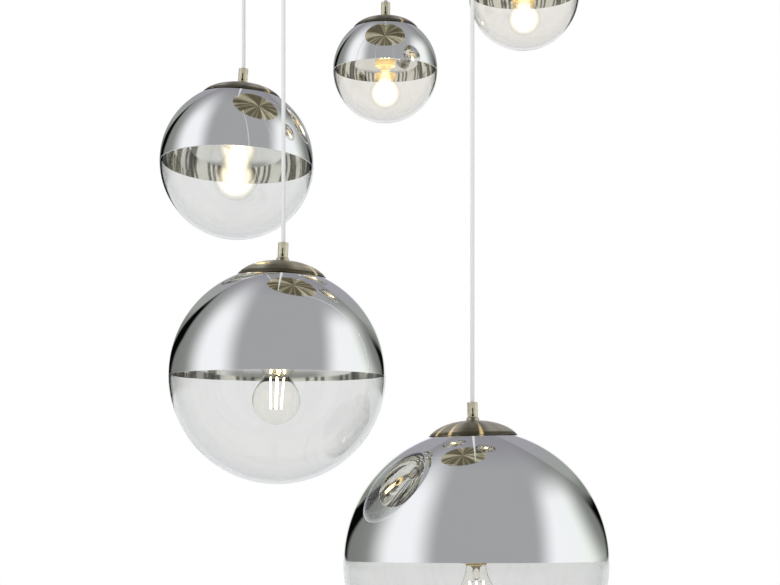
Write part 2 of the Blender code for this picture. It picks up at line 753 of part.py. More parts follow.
def make_filament(pendant):
    """Glass stem, two crosses of wire and four upright filament rods, in one piece."""
    lamp = pendant.lamp
    cage_top = -lamp.glass_length + lamp.radius * CAGE_LOW_SHARE + lamp.filament_length
    cage_bottom = cage_top - lamp.filament_length
    stem_radius = lamp.base_radius * STEM_SHARE
    stem_top = lamp.base_length * BASE_SHELL_SHARE - GAP
    spread = lamp.cage_radius
    drawn_in = spread * CAGE_FOOT_SHARE
    outline = [
        (0, cage_bottom - 2 * WIRE_RADIUS),
        (FILAMENT_RADIUS, cage_bottom - 2 * WIRE_RADIUS),
        (FILAMENT_RADIUS, cage_top + 2 * WIRE_RADIUS),
        (stem_radius, cage_top + stem_radius),
        (stem_radius, stem_top),
        (0, stem_top),
    ]
    cage = turned(f"{pendant.name}_bulb_filament", outline, STEM_SIDES)
    for way in (0, 1):
        x, y = 1 - way, way
        for reach, height in ((spread, cage_top), (drawn_in, cage_bottom)):
            cross = rod(
                "cross",
                WIRE_RADIUS,
                (-x * reach, -y * reach, height),
                (x * reach, y * reach, height),
                WIRE_SIDES,
            )
            combine(cage, cross, "UNION")
        for side in (-1, 1):
            over = 3 * WIRE_RADIUS
            filament = rod(
                "filament",
                FILAMENT_RADIUS,
                (side * x * spread, side * y * spread, cage_top + over),
                (side * x * drawn_in, side * y * drawn_in, cage_bottom - over),
                FILAMENT_SIDES,
            )
            combine(cage, filament, "UNION")
    return cage


def make_pendant(pendant, finishes):
    x, y = cord_place(pendant)
    hang = pivot(f"{pendant.name}_hang", None, (x, y, gland_mouth()))
    tilt = pivot(f"{pendant.name}_tilt", hang, (0, 0, -pendant.cord_length), pendant.lean)
    make_gland(pendant, finishes["white"])
    make_cord(pendant, hang, finishes["white"])
    make_grip(pendant, tilt, finishes["nickel"])
    make_cap(pendant, tilt, finishes["nickel"])
    make_tube(pendant, tilt, finishes["steel"])
    make_clip(pendant, tilt, finishes["steel"])
    make_lampholder(pendant, tilt, finishes["holder"])
    make_globe(pendant, tilt, finishes["mirror"])
    make_bulb(pendant, tilt, finishes["clear"], finishes["brass"], finishes["glow"])


def make_finishes():
    return {
        "nickel": finish("matt_nickel", (0.42, 0.40, 0.34), 0.38, 1.0),
        "steel": finish("zinc_steel", (0.62, 0.62, 0.60), 0.35, 1.0),
        "white": finish("white_plastic", (0.86, 0.86, 0.84), 0.45),
        "holder": finish("ivory_plastic", (0.80, 0.76, 0.66), 0.5),
        "mirror": finish("mirrored_glass", (0.70, 0.71, 0.71), 0.04, 1.0, 0.55),
        "clear": finish("clear_glass", (0.95, 0.95, 0.93), 0.02, 0.0, 0.35),
        "brass": finish("brass", (0.75, 0.62, 0.35), 0.3, 1.0),
        "glow": finish("lit_filament", (1.0, 0.86, 0.55), 0.4),
    }


clear_scene()
FINISHES = make_finishes()
make_bracket(FINISHES["steel"])
make_canopy(FINISHES["nickel"])
make_cap_nuts(FINISHES["nickel"])
make_terminal_block(FINISHES["white"])
for PENDANT in PENDANTS:
    make_pendant(PENDANT, FINISHES)
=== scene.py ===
"""Bubble chandelier: the dressed model. Five half-mirrored glass globes on white cords."""
import json
import math
from collections import namedtuple

import bpy
from mathutils import Euler, Matrix, Vector


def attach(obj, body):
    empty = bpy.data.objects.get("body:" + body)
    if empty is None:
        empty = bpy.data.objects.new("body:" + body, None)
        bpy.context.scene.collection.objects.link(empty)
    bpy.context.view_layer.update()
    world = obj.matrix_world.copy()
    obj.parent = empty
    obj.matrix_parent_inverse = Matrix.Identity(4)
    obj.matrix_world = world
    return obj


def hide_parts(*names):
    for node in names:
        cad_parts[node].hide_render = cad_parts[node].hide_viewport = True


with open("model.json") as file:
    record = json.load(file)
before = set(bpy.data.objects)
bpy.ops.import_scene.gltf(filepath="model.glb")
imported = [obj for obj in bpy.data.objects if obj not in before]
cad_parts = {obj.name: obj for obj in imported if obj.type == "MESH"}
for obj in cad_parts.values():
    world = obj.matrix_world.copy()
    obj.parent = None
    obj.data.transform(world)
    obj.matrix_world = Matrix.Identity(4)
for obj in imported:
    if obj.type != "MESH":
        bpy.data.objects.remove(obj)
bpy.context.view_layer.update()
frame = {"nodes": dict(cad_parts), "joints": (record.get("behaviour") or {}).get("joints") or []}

# Camera and studio
# The photograph was taken level, with the lens shifted up, so that the cords stay upright. The
# set is a white sweep behind, a tall soft box on each side and black flags at the edges.

FOCAL_PX, FRAME_PX = 1881.2, 780
SENSOR_MM = 36
EYE, EYE_TURN, LENS_RISE = (0.0732, -2.5, -0.946), 0.0248, 0.2532

scene = bpy.context.scene
scene.view_settings.view_transform = "Standard"
camera_data = bpy.data.cameras.new("camera")
camera_data.sensor_width = SENSOR_MM
camera_data.lens = SENSOR_MM * FOCAL_PX / FRAME_PX
camera_data.shift_y = LENS_RISE
camera_data.clip_start, camera_data.clip_end = 0.05, 60
camera = bpy.data.objects.new("camera", camera_data)
camera.location = EYE
camera.rotation_euler = (math.radians(90), 0, EYE_TURN)
scene.collection.objects.link(camera)
scene.camera = camera


class Value:
    """A number that changes from place to place: sums on it become Math nodes."""

    def __init__(self, wiring, socket):
        self.wiring, self.socket = wiring, socket

    def maths(self, operation, first, second=0.0):
        made = self.wiring.node("ShaderNodeMath", {"operation": operation}, {0: first, 1: second})
        return Value(self.wiring, made.outputs[0])

    def __add__(self, other):
        return self.maths("ADD", self, other)

    def __sub__(self, other):
        return self.maths("SUBTRACT", self, other)

    def __rsub__(self, other):
        return self.maths("SUBTRACT", other, self)

    def __mul__(self, other):
        return self.maths("MULTIPLY", self, other)

    __radd__, __rmul__ = __add__, __mul__

    def __truediv__(self, other):
        return self.maths("DIVIDE", self, other)

    def __abs__(self):
        return self.maths("ABSOLUTE", self)

    def __pow__(self, other):
        return self.maths("POWER", self, other)

    def max(self, other):
        return self.maths("MAXIMUM", self, other)

    def smooth(self, low, high):
        """Nought below low, one above high, and a soft step between."""
        made = self.wiring.node(
            "ShaderNodeMapRange",
            {"interpolation_type": "SMOOTHSTEP"},
            {"Value": self, "From Min": low, "From Max": high, "To Min": 0.0, "To Max": 1.0},
        )
        return Value(self.wiring, made.outputs[0])


class Wiring:
    """The nodes of one material or of the studio's world."""

    def __init__(self, block):
        block.use_nodes = True
        self.tree = block.node_tree
        self.tree.nodes.clear()

    def feed(self, node, name, source):
        """Gives a socket its number or colour, or links it to what makes one."""
        socket = node.inputs[name]
        if isinstance(source, Value):
            source = source.socket
        if isinstance(source, bpy.types.NodeSocket):
            self.tree.links.new(source, socket)
        else:
            socket.default_value = source

    def node(self, kind, settings=None, inputs=None):
        made = self.tree.nodes.new(kind)
        for name, setting in (settings or {}).items():
            setattr(made, name, setting)
        for name, source in (inputs or {}).items():
            self.feed(made, name, source)
        return made

    def split(self, vector):
        """The three numbers of a place or a direction."""
        made = self.node("ShaderNodeSeparateXYZ", None, {0: vector})
        return [Value(self, made.outputs[axis]) for axis in "XYZ"]

    def colour(self, share, first, second):
        """From the first colour to the second as share goes from nought to one."""
        first, second = ((*end, 1) if isinstance(end, tuple) else end for end in (first, second))
        made = self.node("ShaderNodeMix", {"data_type": "RGBA"}, {"Factor": share, 6: first, 7: second})
        return made.outputs[2]

    def object_place(self):
        return self.node("ShaderNodeTexCoord").outputs["Object"]


studio = bpy.data.worlds.new("studio")
scene.world = studio
wiring = Wiring(studio)
direction = wiring.node("ShaderNodeTexCoord").outputs["Generated"]
facing = wiring.node("ShaderNodeVectorMath", {"operation": "SUBTRACT"}, {0: direction, 1: (0, 1, 0)})
facing = wiring.node("ShaderNodeVectorMath", {"operation": "NORMALIZE"}, {0: facing.outputs[0]})
# Where on a mirrored ball each direction shows, from -1 to 1 across it and up it
across, _, up = wiring.split(facing.outputs[0])
behind = wiring.split(direction)[1].smooth(0.93, 0.97)

# The edges of the boxes and the flags bow inwards with their height, as straight ones do in a ball
rise = up * up
left_box = (
    (across + 0.735 - 0.70 * rise).smooth(-0.1, 0.1)
    * (1 - (across + 0.395 - 0.33 * rise).smooth(-0.11, 0.11))
    * (1 - up.smooth(0.46, 0.93))
)
right_box = (
    (across - 0.510 + 0.18 * rise).smooth(-0.09, 0.09)
    * (1 - (across - 0.914 + 0.447 * up.max(0)).smooth(-0.09, 0.09))
    * (1 - up.smooth(0.42, 0.70))
)
past_left = 0 - across - 0.963 + 1.15 * rise - 0.35 * (rise - 0.12).max(0)
past_right = across - 0.972 + 0.85 * rise
outer_left = past_left - 0.12 + 0.2 * rise
outer_right = past_right - 0.08 + 0.14 * rise
left_flag = (
    past_left.smooth(-0.015, 0.015) * (1 - outer_left.smooth(-0.012, 0.012)) * (1 - up.smooth(0.58, 0.85))
)
right_flag = (
    past_right.smooth(-0.015, 0.015) * (1 - outer_right.smooth(-0.01, 0.01)) * (1 - up.smooth(0.34, 0.50))
)

# How bright the walls, the boxes, the sweep, the flags, the floor and the paper behind are
sides = (abs(across) - 0.85 + 0.5 * rise).smooth(-0.25, 0.1)
top = up.smooth(0.65, 0.9)
sweep = outer_left.max(outer_right).smooth(-0.012, 0.012)
floor_light = (0 - up).smooth(0.03, 0.12)
walls = 0.358 - 0.158 * sides - 0.08 * top
level = walls + (0.91 - walls) * left_box.max(right_box)
level = level + (0.95 - 0.73 * up.smooth(0.2, 0.45) + 0.13 * up.smooth(0.48, 0.62) - level) * sweep
level = level * (1 - 0.99 * left_flag.max(right_flag))
level = level + (0.92 - level) * floor_light
level = level + (0.95 - level) * behind
tint = wiring.colour(sides * (1 - floor_light), (0.98, 0.995, 1.02), (0.95, 1.0, 0.93))
tint = wiring.colour(top, tint, (1.0, 0.985, 1.08))
painted = wiring.node("ShaderNodeVectorMath", {"operation": "SCALE"}, {0: tint, "Scale": level})


def backdrop(colour):
    return wiring.node("ShaderNodeBackground", None, {"Color": colour, "Strength": 1.0}).outputs[0]


def either(share, first, second):
    mixed = wiring.node("ShaderNodeMixShader", None, {0: share, 1: first, 2: second})
    return mixed.outputs[0]


# Mirrors show the painted studio, dull faces take an even light, and the camera sees white paper
path = wiring.node("ShaderNodeLightPath").outputs
mirrored = Value(wiring, path["Glossy Depth"]).smooth(0, 1)
through = Value(wiring, path["Is Transmission Ray"]) * (1 - mirrored)
seen = Value(wiring, path["Is Camera Ray"]).max(through)
mixed = either(path["Is Diffuse Ray"], backdrop(painted.outputs[0]), backdrop((0.86, 0.87, 0.88, 1)))
wiring.node("ShaderNodeOutputWorld", None, {"Surface": either(seen, mixed, backdrop((1, 1, 1, 1)))})

FLOOR_HEIGHT, FLOOR_RADIUS, FLOOR_SIDES = -2.3, 3.0, 96
FADE_START, FADE_END = 1.2, 2.9


def deselect():
    bpy.ops.object.select_all(action="DESELECT")


deselect()
bpy.ops.mesh.primitive_circle_add(
    vertices=FLOOR_SIDES, radius=FLOOR_RADIUS, fill_type="NGON", location=(0, 0, FLOOR_HEIGHT)
)
floor = bpy.context.object
floor.name = "floor"
floor_paint = bpy.data.materials.new("floor_paint")
wiring = Wiring(floor_paint)
reach = wiring.node("ShaderNodeVectorMath", {"operation": "LENGTH"}, {0: wiring.object_place()})
fade = 1 - Value(wiring, reach.outputs["Value"]).smooth(FADE_START, FADE_END)
paint = wiring.node(
    "ShaderNodeBsdfPrincipled", None,
    {"Base Color": (0.93, 0.93, 0.925, 1), "Roughness": 0.8, "Alpha": fade},
)
wiring.node("ShaderNodeOutputMaterial", None, {"Surface": paint.outputs[0]})
floor.data.materials.append(floor_paint)

LAMP_SIZE, LAMP_WATTS = 1.6, 24
LAMP_PLACE, LAMP_AIM = Vector((-1.3, -1.8, 1.3)), Vector((0, 0, -0.7))
lamp_data = bpy.data.lights.new("overhead_lamp", "AREA")
lamp_data.shape, lamp_data.size, lamp_data.energy = "DISK", LAMP_SIZE, LAMP_WATTS
overhead = bpy.data.objects.new("overhead_lamp", lamp_data)
overhead.location = LAMP_PLACE
overhead.rotation_euler = (LAMP_AIM - overhead.location).to_track_quat("-Z", "Y").to_euler()
overhead.visible_glossy = overhead.visible_transmission = False
scene.collection.objects.link(overhead)

# Cords
# Thin round cable with a white plastic sheath, pulled straight by the weight of the shade. Each
# runs free from the mouth of its gland to the mouth of the cord grip.

# Each pendant: the radius of its globe and of its cap, how high the cap's dome and collar rise, its
# kind of lamp, how far the bulb's end lies under the globe's middle, its glare and its glass's tint,
# which is painted light: it makes the bowl lighter or darker for the glare of the bulbs
Pendant = namedtuple("Pendant", "key radius cap_radius cap_rise collar lamp bulb_depth lit glass")
PENDANTS = [
    Pendant("rear", 0.075, 0.0455, 0.016, 0.001, "ball", 0.056, "glare", "warm"),
    Pendant("medium", 0.105, 0.0525, 0.016, 0.001, "pear", 0.052, "glare", "cool"),
    Pendant("large", 0.135, 0.055, 0.0195, 0.003, "pear", 0.061, "clear", "cool"),
    Pendant("largest", 0.165, 0.055, 0.0195, 0.003, "pear", 0.083, "clear", "deep"),
    Pendant("right", 0.075, 0.0455, 0.016, 0.001, "ball", 0.056, "glare", "warm"),
]
joints = {joint["name"]: joint for joint in frame["joints"]}
# Running clearance between pieces that touch
GAP = 0.0003
CORD_RADIUS = 0.0025
CORD_POINTS, CORD_ROUNDNESS = 16, 6


def finish_piece(piece, name, body, slot, *nodes):
    """Names a piece, hangs it on its body and lets it stand for its CAD nodes."""
    piece.name = piece.data.name = name
    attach(piece, body)
    if nodes:
        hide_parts(*nodes)


class Finish(Wiring):
    """A material, the shader that its patterns feed, and the place that they follow."""

    def __init__(self, name, base, roughness, metallic=0.0, own=True, **others):
        self.material = bpy.data.materials.new(name)
        super().__init__(self.material)
        inputs = {"Base Color": (*base, 1), "Roughness": roughness, "Metallic": metallic, **others}
        self.shader = self.node("ShaderNodeBsdfPrincipled", None, inputs)
        self.node("ShaderNodeOutputMaterial", None, {"Surface": self.shader.outputs[0]})
        if own:
            self.place = self.node("ShaderNodeAttribute", {"attribute_name": "own"}).outputs["Vector"]
        else:
            self.place = self.object_place()

    def noise(self, scale, detail=2.0, place=None):
        """A cloudy pattern about a half, over the piece or over another place."""
        place = self.place if place is None else place
        made = self.node("ShaderNodeTexNoise", None, {"Vector": place, "Scale": scale, "Detail": detail})
        return Value(self, made.outputs[0])

    def clouds(self, pattern, dark, light):
        self.feed(self.shader, "Base Color", self.colour(pattern, dark, light))

    def roughen(self, roughness):
        self.feed(self.shader, "Roughness", roughness)

    def weather(self, scale, dark, light, roughness, spread):
        """Cloudy colour, with a roughness that rises where it's light."""
        cloud = self.noise(scale, 3.0)
        self.clouds(cloud, dark, light)
        self.roughen(roughness + spread * cloud)

    def bump(self, height, distance):
        made = self.node("ShaderNodeBump", None, {"Height": height, "Distance": distance})
        self.feed(self.shader, "Normal", made.outputs[0])

    def glow(self, share, dim, bright, strength):
        """Lights the finish, in the dim colour where share is nought and the bright where one."""
        self.feed(self.shader, "Emission Color", self.colour(share, dim, bright))
        self.feed(self.shader, "Emission Strength", strength)


cord_sheath = Finish("cord_sheath", (0.85, 0.85, 0.83), 0.4, own=False)
cord_sheath.weather(160.0, (0.72, 0.72, 0.705), (0.80, 0.80, 0.785), 0.32, 0.2)
cord_sheath.bump(cord_sheath.noise(900.0), 0.00004)

for pendant in PENDANTS:
    start = Vector(joints[f"{pendant.key}_swing"]["pos_m"]) - Vector((0, 0, GAP))
    end = Vector(joints[f"{pendant.key}_tip"]["pos_m"]) + Vector((0, 0, GAP))
    line = bpy.data.curves.new(f"{pendant.key}_cord_line", "CURVE")
    line.dimensions = "3D"
    line.bevel_depth, line.bevel_resolution = CORD_RADIUS, CORD_ROUNDNESS
    line.use_fill_caps = True
    spline = line.splines.new("POLY")
    spline.points.add(CORD_POINTS - 1)
    for n, point in enumerate(spline.points):
        point.co = (*start.lerp(end, n / (CORD_POINTS - 1)), 1)
    spline.use_smooth = True
    cord = bpy.data.objects.new("cord", line)
    scene.collection.objects.link(cord)
    line.materials.append(cord_sheath.material)
    finish_piece(cord, f"{pendant.key}_white_cord", f"{pendant.key}_hang", "white_plastic",
                 f"{pendant.key}_cord")

# Cord glands
# Moulded white strain reliefs that snap into the canopy. The flange lies on the underside, and
# a ribbed taper below it grips the cord.

CANOPY_DEPTH, CANOPY_SHEET = 0.028, 0.0012
CORD_BORE = 0.0028
GLAND_LENGTH, GLAND_HEAD, GLAND_NECK, GLAND_FOOT = 0.016, 0.0070, 0.0049, 0.0048
GLAND_SIDES = 40
FLANGE_RADIUS, FLANGE_DEPTH, FLANGE_WAIST = 0.0080, 0.0020, 0.0060
BARB_RADIUS, BARB_FOOT, BARB_TOP = 0.0058, 0.0015, 0.0035
GLAND_BEVEL, GLAND_CHAMFER = 0.0004, 0.0005
RIB_COUNT, RIB_START, RIB_PITCH, RIB_TAPER = 5, 0.0145, 0.0024, 0.0002
RIB_STEP, RIB_SHARES = 0.0006, ((0, 0), (2 / 3, 1), (2 / 3, 2), (0, 3))
LATHE_START, LATHE_MERGE = 0.001, 0.000001


def pick(*pieces):
    """Selects pieces and nothing else, with the first one active."""
    deselect()
    for piece in pieces:
        piece.select_set(True)
    bpy.context.view_layer.objects.active = pieces[0]


def corner(radius, height, size, shares):
    """Points about a corner of an outline, as shares of a size outwards and up."""
    return [(radius + size * out, height + size * rise) for out, rise in shares]


def turn_on_lathe(name, outline, steps):
    """Draws an outline of (radius, height) points and spins it about the upright axis."""
    deselect()
    radius, height = outline[0]
    bpy.ops.mesh.primitive_plane_add(size=LATHE_START, location=(radius, 0, height), enter_editmode=True)
    bpy.ops.mesh.select_mode(type="VERT")
    bpy.ops.mesh.select_all(action="SELECT")
    bpy.ops.mesh.merge(type="CENTER")
    for (radius, height), (next_radius, next_height) in zip(outline, outline[1:]):
        step = (next_radius - radius, 0, next_height - height)
        bpy.ops.mesh.extrude_region_move(TRANSFORM_OT_translate={"value": step})
    bpy.ops.mesh.select_all(action="SELECT")
    bpy.ops.mesh.spin(steps=steps, angle=math.tau, center=(0, 0, 0), axis=(0, 0, 1))
    bpy.ops.mesh.select_all(action="SELECT")
    bpy.ops.mesh.remove_doubles(threshold=LATHE_MERGE)
    bpy.ops.mesh.normals_make_consistent(inside=False)
    bpy.ops.object.mode_set(mode="OBJECT")
    bpy.ops.object.transform_apply()
    turned = bpy.context.object
    turned.name = name
    return turned


def smooth_piece(piece, angle=35):
    pick(piece)
    bpy.ops.object.shade_smooth_by_angle(angle=math.radians(angle))


def copy_piece(model):
    """A copy with a mesh of its own, for what repeats."""
    piece = model.copy()
    piece.data = model.data.copy()
    scene.collection.objects.link(piece)
    return piece


def discard(*pieces):
    for piece in pieces:
        bpy.data.objects.remove(piece, do_unlink=True)


def set_in_place(piece, matrix, *materials):
    """Keeps a piece's own coordinates for its finish, moves its mesh into place and coats it."""
    flat = [0.0] * (3 * len(piece.data.vertices))
    piece.data.vertices.foreach_get("co", flat)
    piece.data.attributes.new("own", "FLOAT_VECTOR", "POINT").data.foreach_set("vector", flat)
    pick(piece)
    piece.matrix_world = matrix
    bpy.ops.object.transform_apply()
    for material in materials:
        piece.data.materials.append(material)


white_nylon = Finish("white_nylon", (0.84, 0.84, 0.82), 0.45)
white_nylon.weather(220.0, (0.78, 0.78, 0.76), (0.88, 0.88, 0.86), 0.35, 0.2)
white_nylon.bump(white_nylon.noise(1500.0), 0.00003)

ribs = []
for rib in range(RIB_COUNT):
    ribs += corner(GLAND_NECK + RIB_TAPER * rib, RIB_PITCH * rib - RIB_START, RIB_STEP, RIB_SHARES)
gland_outline = [
    (CORD_BORE, GLAND_CHAMFER - GLAND_LENGTH), (CORD_BORE + GLAND_BEVEL, -GLAND_LENGTH),
    (GLAND_FOOT - GLAND_BEVEL, -GLAND_LENGTH), (GLAND_FOOT, GLAND_CHAMFER - GLAND_LENGTH),
    *ribs,
    (FLANGE_WAIST, -FLANGE_DEPTH), (FLANGE_RADIUS - GLAND_BEVEL, -FLANGE_DEPTH),
    (FLANGE_RADIUS, GLAND_BEVEL - FLANGE_DEPTH), (FLANGE_RADIUS, -GAP), (GLAND_NECK, -GAP),
    (GLAND_NECK, BARB_FOOT), (BARB_RADIUS, BARB_FOOT), (BARB_RADIUS, BARB_TOP),
    (GLAND_NECK, GLAND_HEAD), (CORD_BORE, GLAND_HEAD), (CORD_BORE, GLAND_CHAMFER - GLAND_LENGTH),
]
gland_model = turn_on_lathe("gland", gland_outline, GLAND_SIDES)
smooth_piece(gland_model, 30)
for pendant in PENDANTS:
    gland = copy_piece(gland_model)
    mouth = Vector(joints[f"{pendant.key}_swing"]["pos_m"])
    set_in_place(gland, Matrix.Translation((mouth.x, mouth.y, -CANOPY_DEPTH)), white_nylon.material)
    finish_piece(gland, f"{pendant.key}_ribbed_gland", "canopy", "white_plastic",
                 f"{pendant.key}_cord_gland")
discard(gland_model)

# Canopy
# A round pan pressed from steel sheet, spun smooth and plated matt nickel. Its concentric
# brushing is in its bump and roughness. The light and dark rays that the globes mirror are
# painted reflection in its colour. The cap nuts hold it on the bracket.

CANOPY_RADIUS, CANOPY_EDGE, CANOPY_SIDES = 0.225, 0.006, 160
# The rim's lip: its rounding, and where it starts and ends under the ceiling
EDGE_ROUND, LIP_START, LIP_END = 0.0003, 0.0008, 0.0005
CANOPY_RINGS, BEND_STEPS = 12, 6
# Keeps a direction from being divided by nought on the axis
NEAR_AXIS = 0.0001
# How narrow a painted glint is: the cosine of its half angle about the cap
GLINT_EDGE = 0.996
STUD_PLACE, STUD_HOLE, STUD_DEPTH = 0.1, 0.0023, 0.0073
NUT_RADIUS, NUT_LENGTH, NUT_SIDES = 0.006, 0.011, 40
NUT_DOME, NUT_DOME_SHARES = 0.0026, ((0, 0), (1 / 2, 1 / 26), (4 / 5, 6 / 26), (14 / 15, 14 / 26), (1, 1))
NUT_GROOVES, GROOVE, GROOVE_SHARES = (0.0057, 0.0029), 0.0003, ((0, -1), (-1, 0), (0, 1))


def brushed_nickel(name, dark, light, roughness, ring_pitch, streaks, metallic=1.0, rim=0.0, glints=()):
    """Matt nickel plate over lathe brushing: fine rings, with broad rays across them. The rings are
    in the bump, the roughness and the colour; the broad light and dark rays are painted reflection.

    With a rim, as on a dome, the front is painted dark as painted reflection and the rim as painted
    shade. A warm glint, a painted highlight that glows, runs down the dome at each of the glints,
    which are degrees from the front."""
    nickel = Finish(name, light, roughness, metallic, Anisotropic=0.75)
    x, y, z = nickel.split(nickel.place)
    reach = (x * x + y * y) ** 0.5
    out = reach + NEAR_AXIS
    rings = nickel.node(
        "ShaderNodeCombineXYZ", None, {"X": reach / ring_pitch, "Y": z / (8 * ring_pitch)}
    )
    brushing = nickel.noise(1.0, 2.0, rings.outputs[0])
    turn = nickel.node("ShaderNodeCombineXYZ", None, {"X": x / out, "Y": y / out}).outputs[0]
    # Painted reflection: broad light and dark rays round the axis, as spun metal reflects what is round
    # it
    rays = 0.55 * nickel.noise(streaks, 3.0, turn) + 0.5 * nickel.noise(streaks / 3, 1.0, turn)
    share = (rays + 0.22 * (brushing - 0.5)).smooth(0.46, 0.66)
    if rim:
        # Painted reflection darkens the front, and painted shade darkens the rolled rim
        front = (0 - y / out).smooth(0.90, 0.99)
        edge = (reach / rim).smooth(0.91, 0.96)
        share = (0.7 + 0.3 * share) * (1 - 0.8 * front) * (1 - 0.9 * edge)
    nickel.clouds(share, dark, light)
    nickel.roughen(roughness - 0.06 + 0.08 * nickel.noise(60.0, 3.0) + 0.06 * brushing)
    nickel.bump(brushing, ring_pitch * 0.05)
    if glints:
        # Painted highlights: warm glints of the bulbs' light, glowing down the dome
        shine = 0 * reach
        for heading in glints:
            way = math.radians(heading)
            along = (x * math.sin(way) - y * math.cos(way)) / out
            shine = shine.max(along.smooth(GLINT_EDGE, 1.0))
        shine = shine * (reach / rim).smooth(0.25, 0.5) * (0.4 + brushing)
        nickel.glow(shine, (0, 0, 0), (1.0, 0.75, 0.36), 1.3)
    return nickel.material


canopy_nickel = brushed_nickel(
    "canopy_nickel", (0.145, 0.126, 0.078), (0.64, 0.59, 0.42), 0.34, 0.0016, 5.0
)
flat = CANOPY_RADIUS - CANOPY_EDGE
inside = CANOPY_RADIUS - CANOPY_SHEET
inner_edge = CANOPY_EDGE - CANOPY_SHEET
bend = [math.radians(90 * n / BEND_STEPS) for n in range(BEND_STEPS + 1)]
canopy_outline = [
    (0, -CANOPY_DEPTH),
    *((flat * n / CANOPY_RINGS, -CANOPY_DEPTH) for n in range(1, CANOPY_RINGS)),
    *((flat + CANOPY_EDGE * math.sin(a), CANOPY_EDGE * (1 - math.cos(a)) - CANOPY_DEPTH) for a in bend),
    (CANOPY_RADIUS, -LIP_START), (CANOPY_RADIUS - EDGE_ROUND, -LIP_END),
    (inside + EDGE_ROUND, -LIP_END), (inside, -LIP_START),
    *((flat + inner_edge * math.sin(a), CANOPY_SHEET + inner_edge * (1 - math.cos(a)) - CANOPY_DEPTH)
      for a in reversed(bend)),
    (0, CANOPY_SHEET - CANOPY_DEPTH),
]
canopy = turn_on_lathe("canopy", canopy_outline, CANOPY_SIDES)
smooth_piece(canopy)
set_in_place(canopy, Matrix.Identity(4), canopy_nickel)
finish_piece(canopy, "spun_canopy", "canopy", "matt_nickel", "canopy")

nut_outline = [(STUD_HOLE, -STUD_DEPTH), (0, -STUD_DEPTH)]
nut_outline += [(NUT_RADIUS * out, NUT_DOME * rise - NUT_LENGTH) for out, rise in NUT_DOME_SHARES]
for groove in NUT_GROOVES:
    nut_outline += corner(NUT_RADIUS, -groove, GROOVE, GROOVE_SHARES)
nut_outline += [(NUT_RADIUS, -LIP_START), (NUT_RADIUS - EDGE_ROUND, -GAP), (STUD_HOLE, -GAP),
                (STUD_HOLE, -STUD_DEPTH)]
# The rays on the nuts are painted reflection as well
nut_nickel = brushed_nickel("nut_nickel", (0.36, 0.33, 0.25), (0.66, 0.63, 0.54), 0.28, 0.0004, 3.0)
for side, name in ((-1, "cap_nut_left"), (1, "cap_nut_right")):
    nut = turn_on_lathe("nut", nut_outline, NUT_SIDES)
    smooth_piece(nut, 40)
    set_in_place(nut, Matrix.Translation((side * STUD_PLACE, 0, -CANOPY_DEPTH)), nut_nickel)
    finish_piece(nut, f"grooved_{name}", "canopy", "matt_nickel", name)

# Bracket and terminal block
# A zinc-plated strap of pressed steel with two studs, screwed to the ceiling. The three-way
# terminal block of white plastic hangs under its middle. Both keep the CAD solids' shapes.

zinc_plate = Finish("zinc_plate", (0.62, 0.63, 0.62), 0.34, 1.0, own=False)
spangle = zinc_plate.node("ShaderNodeTexVoronoi", None, {"Vector": zinc_plate.place, "Scale": 240.0})
spangle = Value(zinc_plate, spangle.outputs["Distance"])
cloud = zinc_plate.noise(45.0, 4.0)
zinc_plate.clouds(cloud, (0.50, 0.50, 0.48), (0.72, 0.73, 0.73))
zinc_plate.roughen(0.24 + 0.12 * cloud + 0.1 * spangle)
zinc_plate.bump(spangle, 0.00002)

block_plastic = Finish("block_plastic", (0.86, 0.86, 0.83), 0.5, own=False)
block_plastic.weather(300.0, (0.80, 0.80, 0.76), (0.89, 0.89, 0.87), 0.4, 0.2)


def refinish(node, finish):
    """Gives a CAD solid that keeps its shape a new finish."""
    materials = frame["nodes"][node].data.materials
    materials.clear()
    materials.append(finish.material)


refinish("mounting_bracket", zinc_plate)
refinish("terminal_block", block_plastic)

# Cord grips
# Small turned cylinders of bright nickel-plated brass. A slot is milled up the front of each,
# and a grub screw at its foot pinches the threaded tube.

GRIP_RADIUS, GRIP_LENGTH, GRIP_SIDES = 0.0065, 0.019, 48
# A fine line is turned round the grip, this far under its top
GRIP_LINE, LINE_DEPTH = 0.0030, 0.0002
HEAD_ROUND, HEAD_SHARES = 0.001, ((-1, 0), (-0.4, -0.2), (0, -0.8))
MOUTH_CHAMFER, FOOT_CHAMFER, FOOT_INSET = 0.0006, 0.0008, 0.0005
# The hole for the threaded tube, and how far the tube goes into the grip
TUBE_HOLE, TUBE_SEAT = 0.0053, 0.008
CAP_SHEET = 0.001
SLOT_RADIUS, SLOT_DEPTH, SLOT_RUN = 0.0007, 0.0024, 0.0083
SCREW_HEIGHT = 0.0028 - GRIP_LENGTH
SCREW_HOLE, SCREW_HOLE_DEPTH, SCREW_HOLE_SIDES = 0.0016, 0.004, 32
SCREW_RADIUS, SCREW_LENGTH, SCREW_SUNK = 0.0014, 0.0022, 0.0013
SCREW_RIM, SOCKET_RIM, SOCKET_DEPTH = 0.0002, 0.0005, 0.0009
PIN_SIDES = 24
# A distance that counts as nought
BARELY = 0.00001
# Where the milled faces lie, which take the dark finish as painted shade: in front of this,
# between these radii and between these heights
CUT_FRONT, CUT_IN, CUT_OUT = -0.004, 0.0045, GRIP_RADIUS - 0.00025
CUT_LOW, CUT_HIGH = 0.0006 - GRIP_LENGTH, -0.006


def hang_matrix(pendant, height=0.0):
    """A pendant's own upright frame, at a height over the middle of its globe."""
    turn = joints[f"{pendant.key}_bulb_turn"]
    upright = -Vector(turn["axis"])
    nod, lean = -math.asin(upright.y), math.atan2(upright.x, upright.z)
    hang = Matrix.Translation(turn["pos_m"]) @ Euler((nod, lean, 0)).to_matrix().to_4x4()
    return hang @ Matrix.Translation((0, 0, height))


